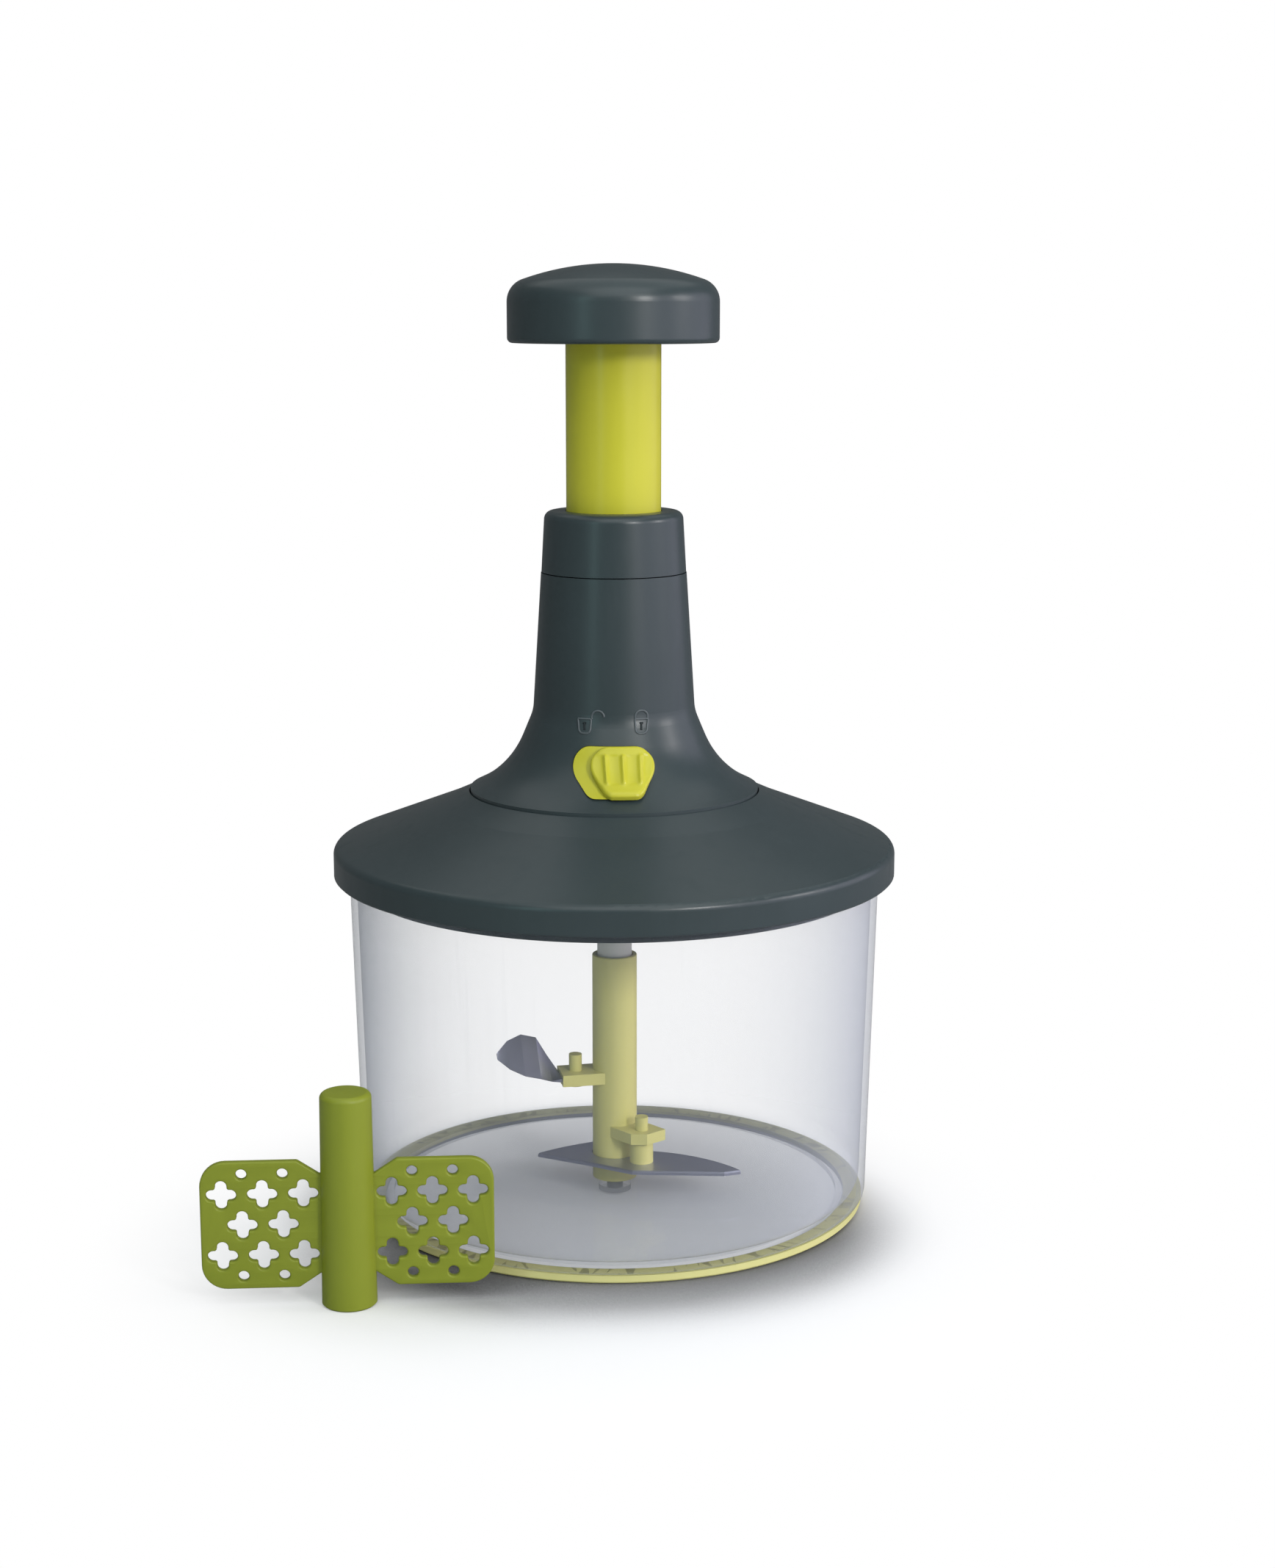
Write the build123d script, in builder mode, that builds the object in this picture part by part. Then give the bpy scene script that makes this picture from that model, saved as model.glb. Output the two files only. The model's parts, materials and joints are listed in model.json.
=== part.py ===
from build123d import *
import os
from math import atan, cos, hypot, pi, radians, sin, sqrt, tan

os.makedirs("parts", exist_ok=True)

# Push-down food chopper with its mixing paddle. Millimetres, +Z up, front towards -Y.
# The origin is on the bowl's axis, on the surface that the base ring stands on.

# Clearances
RUNNING_FIT = 0.05
SLIDING_FIT = 0.3
SEAT_GAP = 0.2
SEAM_GAP = 0.3

# Clear bowl
RIM_GAP = 2.4
BOWL_HEIGHT = 103.7
BOWL_DRAFT = 1.5
BOWL_WALL = 2.0
BOWL_FLOOR = 2.2
BOWL_CORNER_R = 5.0
BOWL_FOOT_ROUND = 2.5
FOOT_RIB_H = 1.7
FOOT_RIB_W = 2.2
PIN_BOSS_R = 5.0

# Ring under the bowl
RING_HEIGHT = 2.3
RING_WIDTH = 5.5
RING_INSET = 1.0
RING_EDGE = 0.5

# Steel pin that the blade unit turns on
PIN_R = 2.5
PIN_SUNK = 1.1
PIN_TIP_ROUND = 1.5

# Blade stem
STEM_WALL = 0.95
STEM_BORE_GAP = 0.6
STEM_FOOT_GAP = 0.5
STEM_HEAD_GAP = 7.1
STEM_WEB = 5.5
STEM_EDGE_ROUND = 0.3
SPLINE_COUNT = 4
SPLINE_START = 45.0
SPLINE_DEPTH = 0.55
SPLINE_ROOT = 0.3
SPLINE_W = 1.6
SPLINE_LENGTH = 22.0
SPLINE_GAP = 0.25
SPLINE_SETBACK = 6.5

# Lugs on the stem that hold the blades, and their pins
LUG_REACH = 17.2
LUG_WIDTH = 11.0
LUG_CHAMFER = 3.5
LUG_PIN_REACH = 12.4
LUG_PIN_R = 2.0
LUG_PIN_HEAD_R = 3.0
LUG_PIN_HEAD_H = 1.0
UPPER_PIN_STAND = 5.2
LOWER_PIN_STAND = 4.2
UPPER_LUG_ANGLE = 192.0
UPPER_LUG_RISE = 31.2
UPPER_LUG_H = 3.6
LOWER_LUG_ANGLE = -48.0
LOWER_LUG_H = 3.4
LOWER_SPACER_H = 6.8
LOWER_SPACER_R = 3.6

# Blades
BLADE_T = 1.2
TANG_W = 9.0
TANG_SETBACK = 1.0
TANG_SLOT_GAP = 0.1
# Stations along the upper blade: reach from the axis, rise above the tang, width, pitch in degrees
UPPER_STATIONS = [
    (20.6, 2.7, 11.0, 28.0),
    (24.0, 6.2, 14.2, 45.0),
    (28.8, 7.4, 14.0, 47.0),
    (33.3, 7.7, 9.4, 47.0),
    (36.8, 7.6, 2.0, 47.0),
]
UPPER_EDGE_T = 0.3
LOWER_BLADE_RISE = 6.4
LOWER_EYE_W = 4.35
LOWER_LONG_TIP = (38.6, -17.8)
LOWER_LONG_BACK = (28.0, -7.2)
LOWER_LONG_HEEL = (33.5, -19.6)
LOWER_LONG_ROOT = (5.5, -18.3)
LOWER_SHORT_ROOT = (-9.0, -9.8)
LOWER_SHORT_TIP = (-23.9, -2.0)
LOWER_SHORT_BACK = (-13.6, 5.4)
LOWER_BEVEL = 0.45

# Lid: dome, skirt and underplate
LID_R = 85.0
LID_WALL = 2.2
SKIRT_DROP = 3.4
BAND_HEIGHT = 8.6
RIM_ROUND = 2.5
SKIRT_EDGE = 0.5
DOME_SLOPE = 21.2
SHOULDER_R = 53.0
SHOULDER_SLOPE = 24.2
SEAM_R = 43.5
SEAM_CLEARANCE = 0.4
SHELF_DROP = 2.2
SHELF_T = 2.0
SHELF_HOLE_GAP = 1.0
PLATE_T = 2.0
PLATE_EDGE_GAP = 0.4
PLUG_DEPTH = 6.7
PLUG_WALL = 3.0
PLUG_GAP = 1.0
SEAL_Z_INSET = 2.2
SEAL_HEIGHT = 2.6
SEAL_DEPTH = 1.3
PLATE_SCREWS = 4
PLATE_SCREW_INSET = 8.2
PLATE_SCREW_START = 45.0
PLATE_BOSS_R = 3.4
PLATE_SCREW_LENGTH = 7.5

# Hub under the lid and what turns in it
HUB_DROP = 22.8
HUB_WALL = 2.4
BUSH_WALL = 1.5
BUSH_FLANGE_T = 1.0
BUSH_FLANGE_R = 9.5
WASHER_T = 0.6
SPINDLE_WALL = 1.7
SPINDLE_REACH = 18.3
SPINDLE_TIP_EDGE = 0.4
CLUTCH_PLATE_R = 9.8
CLUTCH_PLATE_T = 2.0
CLUTCH_TEETH = 8
CLUTCH_TOOTH_H = 1.1
CLUTCH_TOOTH_W = 1.5
CLUTCH_TOOTH_INNER_R = 5.6
CLUTCH_TOOTH_OUTER_R = 8.6
CLUTCH_GAP = 0.3
NUT_R = 9.4
NUT_T = 3.4
NUT_EDGE = 0.5
CLIP_T = 0.8
CLIP_GROOVE = 0.6
CLIP_R = 7.4
CLIP_MOUTH = 7.0
COVER_R = 14.0
COVER_WALL = 1.6
COVER_TOP_T = 2.0
COVER_HEADROOM = 0.5
COVER_EDGE = 0.6

# Neck above the lid's seam: radii and heights over the seam
NECK_STEP = 1.0
NECK_HEIGHT = 64.9
NECK_TOP_R = 21.75
WAIST_R = 24.35
WAIST_HEIGHT = 23.4
WAIST_ROUND = 12.0
FLARE_R = 31.7
FLARE_HEIGHT = 5.7
FLARE_ROUND = 29.0
NECK_SCREWS = 3
NECK_SCREW_SPACE = 5.5
NECK_SCREW_START = 90.0
NECK_BOSS_R = 3.4
NECK_SCREW_LENGTH = 7.0

# Collar that guides the plunger
COLLAR_HEIGHT = 18.0
COLLAR_STEP = 0.15
COLLAR_TAPER = 1.0
COLLAR_ROUND = 2.5
SPIGOT_WALL = 2.9
LOCATING_RIB_H = 5.0
LOCATING_RIB_W = 2.0

# Sleeve inside the neck that keeps the plunger from turning
SLEEVE_WALL = 1.6
SLEEVE_TOP_GAP = 3.3
SLEEVE_FOOT_T = 2.0
SLEEVE_SCREWS = 3
SLEEVE_SCREW_SPACE = 3.4
SLEEVE_SCREW_START = 30.0
SLEEVE_BOSS_R = 3.0
SLEEVE_BOSS_H = 6.0
SLEEVE_SCREW_LENGTH = 7.0
WINDOW_SIDE_ANGLE = 16.0
WINDOW_MARGIN = 3.0

# Plunger
STROKE = 46.0
KNOB_STOP_GAP = 3.0
TUBE_R = 14.1
TUBE_WALL = 2.0
TUBE_FOOT_LUG_H = 4.0
TUBE_LUGS = 3
TUBE_LUG_START = 90.0
TUBE_LUG_HALF_ANGLE = 11.0
KEY_W = 4.2
KEY_GAP = 0.4
TUBE_FLANGE_EDGE = 4.0
TUBE_FLANGE_T = 2.5
TUBE_END_T = 4.0

# Knob
KNOB_R = 31.2
KNOB_HEIGHT = 22.9
KNOB_CROWN_R = 80.0
KNOB_SHOULDER_R = 6.8
KNOB_EDGE_R = 1.5
KNOB_WALL = 2.4
KNOB_BASE_T = 2.2
KNOB_BASE_RECESS = 0.5
KNOB_SCREWS = 3
KNOB_SCREW_SPACE = 3.9
KNOB_SCREW_START = 90.0
KNOB_POST_R = 3.3
KNOB_SCREW_LENGTH = 8.0

# Twisted rod: a flat strip with one full turn in each lead
ROD_LEAD = 40.0
ROD_W = 6.4
ROD_T = 2.0
ROD_SLOT_GAP = 0.25
ROD_STEP = 15.0
ROD_FOOT_DROP = 5.3
ROD_END_GAP = 18.2
ROD_SHOULDER_W = 9.0
ROD_SHOULDER_LENGTH = 6.0
ROD_HEAD_LENGTH = 4.0
ROD_PIN_R = 1.5
ROD_PIN_LENGTH = 12.0
ROD_PIN_EDGE = 0.3

# Return spring
SPRING_WIRE_R = 0.65
SPRING_TUBE_GAP = 1.85
SPRING_TURNS = 14

# Lock slider on the front of the neck: angles about the axis, and heights over the seam
LOCK_TRAVEL = 11.6
LOCK_REST_ANGLE = 5.0
LOCK_LOW = 3.1
LOCK_HIGH = 16.9
LOCK_WIDE = 11.7
LOCK_TOP_W = 10.6
LOCK_WIDE_W = 20.8
LOCK_BOTTOM_W = 7.6
LOCK_SIDE_R = 5.6
LOCK_TOP_R = 4.5
LOCK_BOTTOM_R = 4.0
TRACK_DEPTH = 0.8
TRACK_PROUD = 0.6
TRACK_INSET = 0.2
TRACK_FIT = 0.1
BUTTON_GAP = 0.3
BUTTON_T = 2.0
BUTTON_RIDGES = 3
BUTTON_RIDGE_PITCH = 4.5
BUTTON_RIDGE_R = 0.5
BUTTON_RIDGE_PROUD = 0.25
RIDGE_MARGIN = 3.1
POST_W = 3.6
POST_H = 3.0
POST_RISE = 11.2
CARRIER_T = 1.5
CARRIER_W = 22.0
CARRIER_H = 11.0
CARRIER_GAP = 0.3
FINGER_W = 5.0
FINGER_H = 2.4
CATCH_GAP = 0.5

# Paddle that stands beside the bowl
PADDLE_DIRECTION = 231.03
PADDLE_AWAY = 35.35
PADDLE_TURN = 4.0
PADDLE_HUB_R = 7.65
PADDLE_HUB_TOP_R = 7.1
PADDLE_HUB_H = 61.0
PADDLE_HUB_ROUND = 1.6
PADDLE_CAP_T = 3.0
PADDLE_WING_REACH = 40.3
PADDLE_WING_LOW = 5.2
PADDLE_WING_H = 36.6
PADDLE_WING_T = 2.4
PADDLE_CORNER_R = 7.0
PADDLE_CHAMFER_OUT = 6.0
PADDLE_CHAMFER_DOWN = 4.0
CROSS_PITCH_X = 11.2
CROSS_PITCH_Z = 8.8
CROSS_FIRST_X = 12.1
CROSS_LOBE_R = 1.6
CROSS_LOBE_OUT = 2.55
CROSS_BAR_W = 3.2
SMALL_HOLE_R = 1.5
SMALL_HOLE_Z = 14.7

# Screws
SCREW_HEAD_R = 2.6
SCREW_HEAD_H = 1.8
SCREW_HEAD_ROUND = 0.7
SCREW_SHANK_R = 1.3
SCREW_SLOT_W = 0.6
SCREW_SLOT_DEPTH = 0.8

# Radii that follow from the sizes above
bowl_rim_r = LID_R - LID_WALL - RIM_GAP
spindle_bore_r = hypot(ROD_W, ROD_T) / 2 + ROD_SLOT_GAP
spindle_r = spindle_bore_r + SPINDLE_WALL
spline_tip_r = spindle_r - SPLINE_DEPTH
stem_bore_r = spindle_r + STEM_BORE_GAP
stem_r = stem_bore_r + STEM_WALL
bush_r = spindle_r + RUNNING_FIT + BUSH_WALL
hub_r = bush_r + HUB_WALL
dome_edge_r = SEAM_R + SEAM_CLEARANCE
tube_bore_r = TUBE_R - TUBE_WALL
collar_bore_r = TUBE_R + SLIDING_FIT
spigot_r = collar_bore_r + SPIGOT_WALL
sleeve_bore_r = spigot_r + SLIDING_FIT
sleeve_r = sleeve_bore_r + SLEEVE_WALL
sleeve_screw_ring = sleeve_r + SLEEVE_SCREW_SPACE
sleeve_foot_r = sleeve_screw_ring + SLEEVE_SCREW_SPACE
shelf_hole_r = sleeve_foot_r + SHELF_HOLE_GAP
neck_screw_ring = shelf_hole_r + NECK_SCREW_SPACE
knob_screw_ring = TUBE_R + KNOB_SCREW_SPACE
tube_flange_r = knob_screw_ring + TUBE_FLANGE_EDGE
spring_mean_r = tube_bore_r - SPRING_TUBE_GAP - SPRING_WIRE_R

# Heights that follow from the sizes above, upwards from the floor
bowl_base_z = RING_HEIGHT
floor_top_z = bowl_base_z + BOWL_FLOOR
bowl_top_z = bowl_base_z + BOWL_HEIGHT
plate_z = bowl_top_z + SEAT_GAP
plate_top_z = plate_z + PLATE_T
skirt_z = plate_z - SKIRT_DROP
rim_z = skirt_z + BAND_HEIGHT
shoulder_z = rim_z + (LID_R - SHOULDER_R) * tan(radians(DOME_SLOPE))
dome_edge_z = shoulder_z + (SHOULDER_R - dome_edge_r) * tan(radians(SHOULDER_SLOPE))
shelf_top_z = dome_edge_z - SHELF_DROP
neck_z = dome_edge_z + NECK_STEP
neck_foot_z = shelf_top_z + SEAT_GAP
neck_top_z = neck_z + NECK_HEIGHT
collar_z = neck_top_z + SEAM_GAP
collar_top_z = collar_z + COLLAR_HEIGHT
hub_foot_z = plate_z - HUB_DROP
bush_top_z = plate_top_z + BUSH_FLANGE_T
clutch_z = bush_top_z + WASHER_T + 2 * RUNNING_FIT
clutch_top_z = clutch_z + CLUTCH_PLATE_T
nut_z = clutch_top_z + CLUTCH_TOOTH_H + CLUTCH_GAP
nut_top_z = nut_z + NUT_T
cover_inside_z = nut_top_z + COVER_HEADROOM
cover_top_z = cover_inside_z + COVER_TOP_T
tube_foot_z = cover_top_z + SLIDING_FIT + STROKE
spigot_z = tube_foot_z + TUBE_FOOT_LUG_H + SLIDING_FIT
sleeve_top_z = collar_z - LOCATING_RIB_H - SLEEVE_TOP_GAP
knob_z = collar_top_z + STROKE + KNOB_STOP_GAP
knob_base_z = knob_z + KNOB_BASE_RECESS
flange_z = knob_base_z + KNOB_BASE_T + SCREW_HEAD_H + SLIDING_FIT
flange_top_z = flange_z + TUBE_FLANGE_T
tube_end_z = flange_top_z - TUBE_END_T
rod_foot_z = nut_z - ROD_FOOT_DROP
rod_straight_z = nut_top_z + STROKE + SLIDING_FIT
stem_foot_z = floor_top_z + STEM_FOOT_GAP
stem_top_z = hub_foot_z - STEM_HEAD_GAP
stem_floor_z = rod_foot_z - STROKE - ROD_END_GAP
stem_web_z = stem_floor_z - STEM_WEB
pin_tip_z = stem_web_z - SLIDING_FIT
pin_foot_z = bowl_base_z - PIN_SUNK
spline_top_z = stem_top_z - SPLINE_SETBACK
spindle_tip_z = stem_top_z - SPINDLE_REACH
upper_lug_z = stem_foot_z + UPPER_LUG_RISE
upper_tang_z = upper_lug_z + UPPER_LUG_H / 2
lower_blade_z = stem_foot_z + LOWER_BLADE_RISE
lower_lug_z = lower_blade_z + BLADE_T + LOWER_SPACER_H
lock_low_z = neck_z + LOCK_LOW
lock_wide_z = neck_z + LOCK_WIDE
lock_high_z = neck_z + LOCK_HIGH
post_z = neck_z + POST_RISE
finger_z = post_z - POST_H / 2 - SLIDING_FIT - FINGER_H / 2


def bowl_outer_r(z):
    """Outer radius of the tapered bowl at a height."""
    return bowl_rim_r - (bowl_top_z - z) * tan(radians(BOWL_DRAFT))


def profile(corners):
    """A face in the XZ plane with its corners given as radius and height."""
    with BuildSketch(Plane.XZ) as outline:
        with BuildLine():
            Polyline(*corners, close=True)
        make_face()
    return outline.sketch


def beside(line, distance):
    """The same open run of corners moved sideways, towards the axis where the run goes down."""
    moved = []
    for i, corner in enumerate(line):
        here = Vector(*corner)
        arms = []
        if i > 0:
            arms.append((here - Vector(*line[i - 1])).normalized())
        if i < len(line) - 1:
            arms.append((Vector(*line[i + 1]) - here).normalized())
        normals = [Vector(a.Y, -a.X) for a in arms]
        mean = sum(normals, Vector(0, 0)).normalized()
        moved.append(here + mean * (distance / mean.dot(normals[0])))
    return [(p.X, p.Y) for p in moved]


neck_line = [
    (NECK_TOP_R, neck_top_z),
    (WAIST_R, neck_z + WAIST_HEIGHT),
    (FLARE_R, neck_z + FLARE_HEIGHT),
    (SEAM_R, neck_z),
]


def neck_face(proud, floor_z=neck_foot_z):
    """Half section of all that lies inside the neck's surface, moved outwards by proud."""
    top, waist, flare, seam = beside(neck_line, -proud)
    foot_r = SEAM_R + max(proud, -LID_WALL)
    slope = (seam[1] - flare[1]) / (seam[0] - flare[0])
    foot = (foot_r, flare[1] + (foot_r - flare[0]) * slope)
    with BuildSketch(Plane.XZ) as outline:
        with BuildLine():
            FilletPolyline(
                (top[0], neck_top_z),
                waist,
                flare,
                foot,
                radius=[WAIST_ROUND - proud, FLARE_ROUND - proud],
            )
            Polyline(foot, (foot_r, floor_z), (0, floor_z), (0, neck_top_z))
            Line((0, neck_top_z), (top[0], neck_top_z))
        make_face()
    return outline.sketch


def front_plane(angle, reach=0.0, foot=(0, 0, 0)):
    """An upright plane that faces the front, turned by an angle and set forward by a reach."""
    origin = Vector(*foot) + Vector(*around(angle - 90, reach))
    return Plane(origin=origin, x_dir=around(angle, 1), z_dir=around(angle - 90, 1))


def front_shell(from_proud, to_proud, shape):
    """The layer between two surfaces beside the neck's, cut to a shape seen from the front."""
    with BuildPart() as layer:
        revolve(neck_face(to_proud, plate_top_z), axis=Axis.Z)
        revolve(neck_face(from_proud, plate_top_z), axis=Axis.Z, mode=Mode.SUBTRACT)
        extrude(shape, amount=LID_R, mode=Mode.INTERSECT)
    return layer.part


def around(angle, reach, z=0.0):
    """A point at a reach from the axis, at an angle from +X."""
    return (reach * cos(radians(angle)), reach * sin(radians(angle)), z)


def wedge(angle, half_angle):
    """A wedge of a disc as wide as the lid, with its point on the axis."""
    with BuildSketch(Plane.XY) as shape:
        with BuildLine():
            Line((0, 0), around(angle - half_angle, LID_R))
            ThreePointArc(
                around(angle - half_angle, LID_R),
                around(angle, LID_R),
                around(angle + half_angle, LID_R),
            )
            Line(around(angle + half_angle, LID_R), (0, 0))
        make_face()
    return shape.sketch


def strip_face(z, extra):
    """The twisted rod's section at a height, grown by extra on every side."""
    turn = 360.0 * (z - rod_straight_z) / ROD_LEAD
    with BuildSketch(Plane.XY.offset(z).rotated((0, 0, turn))) as section:
        Rectangle(ROD_W + 2 * extra, ROD_T + 2 * extra)
    return section.sketch


def twist_heights(low, high):
    """Heights from low to high, one for each small step of twist."""
    steps = max(1, round((high - low) / ROD_LEAD * 360.0 / ROD_STEP))
    return [low + (high - low) * i / steps for i in range(steps + 1)]


def finish(piece, name):
    """Labels a finished piece and writes it to its file."""
    piece.part.label = name
    export_step(piece.part, f"parts/{name}.step")


def screw_group(name, ring, count, first_angle, bearing_z, length):
    """Pan-head screws on a ring, with their heads below the bearing face and shanks upwards."""
    with BuildPart() as screw:
        with BuildSketch(Plane.XY.offset(-SCREW_HEAD_H)):
            Circle(SCREW_HEAD_R)
        extrude(amount=SCREW_HEAD_H)
        fillet(screw.edges().group_by(Axis.Z)[0], SCREW_HEAD_ROUND)
        with BuildSketch(Plane.XY):
            Circle(SCREW_SHANK_R)
        extrude(amount=length)
        with BuildSketch(Plane.XY.offset(-SCREW_HEAD_H)):
            Rectangle(2 * SCREW_HEAD_R, SCREW_SLOT_W)
            Rectangle(SCREW_SLOT_W, 2 * SCREW_HEAD_R)
        extrude(amount=SCREW_SLOT_DEPTH, mode=Mode.SUBTRACT)
    with BuildPart() as group:
        with Locations((0, 0, bearing_z)):
            with PolarLocations(ring, count, first_angle):
                add(screw.part)
    finish(group, name)


# Bowl: a tapered clear cup with a boss for the pin and a rib that centres the ring
with BuildPart() as bowl:
    foot_r = bowl_outer_r(bowl_base_z)
    with BuildSketch(Plane.XZ) as bowl_section:
        with BuildLine():
            Polyline(
                (0, bowl_base_z),
                (foot_r, bowl_base_z),
                (bowl_rim_r, bowl_top_z),
                (bowl_rim_r - BOWL_WALL, bowl_top_z),
                (foot_r - BOWL_WALL, floor_top_z),
                (0, floor_top_z),
                close=True,
            )
        make_face()
        fillet(
            bowl_section.vertices().sort_by_distance((foot_r, bowl_base_z))[0], BOWL_FOOT_ROUND
        )
        fillet(
            bowl_section.vertices().sort_by_distance((foot_r - BOWL_WALL, floor_top_z))[0],
            BOWL_CORNER_R,
        )
    revolve(axis=Axis.Z)
    ring_r = foot_r - RING_INSET
    rib_r = ring_r - RING_WIDTH - SEAT_GAP
    with BuildSketch(Plane.XY.offset(bowl_base_z)):
        Circle(rib_r)
        Circle(rib_r - FOOT_RIB_W, mode=Mode.SUBTRACT)
        Circle(PIN_BOSS_R)
    extrude(amount=-FOOT_RIB_H)
    with BuildSketch(Plane.XY.offset(pin_foot_z)):
        Circle(PIN_R)
    extrude(amount=floor_top_z - pin_foot_z, mode=Mode.SUBTRACT)
finish(bowl, "bowl")

# Ring: the soft band that the bowl stands in
with BuildPart() as base_ring:
    with BuildSketch(Plane.XY):
        Circle(ring_r)
        Circle(ring_r - RING_WIDTH, mode=Mode.SUBTRACT)
    extrude(amount=RING_HEIGHT)
    chamfer(base_ring.edges().group_by(Axis.Z)[0], RING_EDGE)
finish(base_ring, "base_ring")

# Centre pin: pressed into the bowl's boss, with a rounded tip
with BuildPart() as centre_pin:
    with BuildSketch(Plane.XY.offset(pin_foot_z)):
        Circle(PIN_R)
    extrude(amount=pin_tip_z - pin_foot_z)
    fillet(centre_pin.edges().group_by(Axis.Z)[-1], PIN_TIP_ROUND)
finish(centre_pin, "centre_pin")

# Blade stem: hollow above for the spindle and the rod, bored below for the pin, with two lugs
tang_slot_r = stem_r + TANG_SETBACK
with BuildPart() as blade_stem:
    with BuildSketch(Plane.XY.offset(stem_foot_z)):
        Circle(stem_r)
    extrude(amount=stem_top_z - stem_foot_z)
    for angle, low, height in (
        (UPPER_LUG_ANGLE, upper_lug_z, UPPER_LUG_H),
        (LOWER_LUG_ANGLE, lower_lug_z, LOWER_LUG_H),
    ):
        with BuildSketch(Plane.XY.offset(low).rotated((0, 0, angle))) as lug:
            with Locations((LUG_REACH / 2, 0)):
                Rectangle(LUG_REACH, LUG_WIDTH)
            chamfer(lug.vertices().group_by(Axis((0, 0, 0), around(angle, 1)))[-1], LUG_CHAMFER)
        extrude(amount=height)
    with BuildSketch(Plane.XY.offset(lower_lug_z)):
        with Locations(around(LOWER_LUG_ANGLE, LUG_PIN_REACH)):
            Circle(LOWER_SPACER_R)
    extrude(amount=-LOWER_SPACER_H)
    fillet(blade_stem.edges().filter_by(GeomType.CIRCLE).group_by(Axis.Z)[-1], STEM_EDGE_ROUND)
    with BuildSketch(Plane.XY.offset(stem_floor_z)):
        Circle(stem_bore_r)
    extrude(amount=stem_top_z - stem_floor_z, mode=Mode.SUBTRACT)
    with BuildSketch(Plane.XY.offset(stem_foot_z)):
        Circle(PIN_R + RUNNING_FIT)
    extrude(amount=stem_web_z - stem_foot_z, mode=Mode.SUBTRACT)
    with BuildSketch(Plane.XY.offset(spline_top_z - SPLINE_LENGTH)):
        with PolarLocations((stem_bore_r + spline_tip_r) / 2, SPLINE_COUNT, SPLINE_START):
            Rectangle(stem_bore_r - spline_tip_r + 2 * SPLINE_ROOT, SPLINE_W)
        Circle(spline_tip_r, mode=Mode.SUBTRACT)
    extrude(amount=SPLINE_LENGTH)
    with BuildSketch(Plane.XY.offset(upper_tang_z).rotated((0, 0, UPPER_LUG_ANGLE))):
        with Locations((tang_slot_r + LUG_REACH / 2, 0)):
            Rectangle(LUG_REACH, TANG_W + 2 * TANG_SLOT_GAP)
    extrude(amount=BLADE_T / 2 + TANG_SLOT_GAP, both=True, mode=Mode.SUBTRACT)
    for angle, low in (
        (UPPER_LUG_ANGLE, upper_lug_z),
        (LOWER_LUG_ANGLE, lower_lug_z - LOWER_SPACER_H),
    ):
        with BuildSketch(Plane.XY.offset(low)):
            with Locations(around(angle, LUG_PIN_REACH)):
                Circle(LUG_PIN_R + RUNNING_FIT)
        extrude(amount=LOWER_SPACER_H + UPPER_LUG_H + LOWER_LUG_H, mode=Mode.SUBTRACT)
finish(blade_stem, "blade_stem")

# Upper blade: a flat tang in the lug's slot that turns up into a pitched leaf
outward = Vector(*around(UPPER_LUG_ANGLE, 1))
backward = Vector(outward.Y, -outward.X)
tang_root = tang_slot_r + TANG_SLOT_GAP
stations = [(tang_root, 0.0, TANG_W, 0.0), (LUG_REACH, 0.0, TANG_W, 0.0)] + UPPER_STATIONS
with BuildPart() as upper_blade:
    for reach, rise, width, pitch in stations:
        across = backward * cos(radians(pitch)) + Vector(0, 0, 1) * sin(radians(pitch))
        centre = outward * reach + Vector(0, 0, upper_tang_z + rise)
        edge_t = BLADE_T if pitch == 0 else UPPER_EDGE_T
        with BuildSketch(Plane(origin=centre, x_dir=across, z_dir=outward)):
            with BuildLine():
                Polyline(
                    (-width / 2, -edge_t / 2),
                    (width / 2, -BLADE_T / 2),
                    (width / 2, BLADE_T / 2),
                    (-width / 2, edge_t / 2),
                    close=True,
                )
            make_face()
    loft(ruled=True)
    with BuildSketch(Plane.XY.offset(upper_lug_z)):
        with Locations(around(UPPER_LUG_ANGLE, LUG_PIN_REACH)):
            Circle(LUG_PIN_R + RUNNING_FIT)
    extrude(amount=UPPER_LUG_H, mode=Mode.SUBTRACT)
finish(upper_blade, "upper_blade")

# Lower blade: one flat plate with an eye around the stem, a long wing and a short one
lower_eye_r = stem_r + SLIDING_FIT + LOWER_EYE_W
with BuildPart() as lower_blade:
    with BuildSketch(Plane.XY.offset(lower_blade_z)):
        with BuildLine():
            ThreePointArc((lower_eye_r, 0), LOWER_LONG_BACK, LOWER_LONG_TIP)
            Polyline(LOWER_LONG_TIP, LOWER_LONG_HEEL, LOWER_LONG_ROOT, LOWER_SHORT_ROOT)
            Line(LOWER_SHORT_ROOT, LOWER_SHORT_TIP)
            ThreePointArc(LOWER_SHORT_TIP, LOWER_SHORT_BACK, (0, lower_eye_r))
            Line((0, lower_eye_r), (lower_eye_r, 0))
        make_face()
        Circle(lower_eye_r)
    extrude(amount=BLADE_T)
    chamfer(
        lower_blade.faces().sort_by(Axis.Z)[-1].edges().filter_by(GeomType.LINE), LOWER_BEVEL
    )
    with BuildSketch(Plane.XY.offset(lower_blade_z)):
        Circle(stem_r + SLIDING_FIT)
        with Locations(around(LOWER_LUG_ANGLE, LUG_PIN_REACH)):
            Circle(LUG_PIN_R + RUNNING_FIT)
    extrude(amount=BLADE_T, mode=Mode.SUBTRACT)
finish(lower_blade, "lower_blade")

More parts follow.
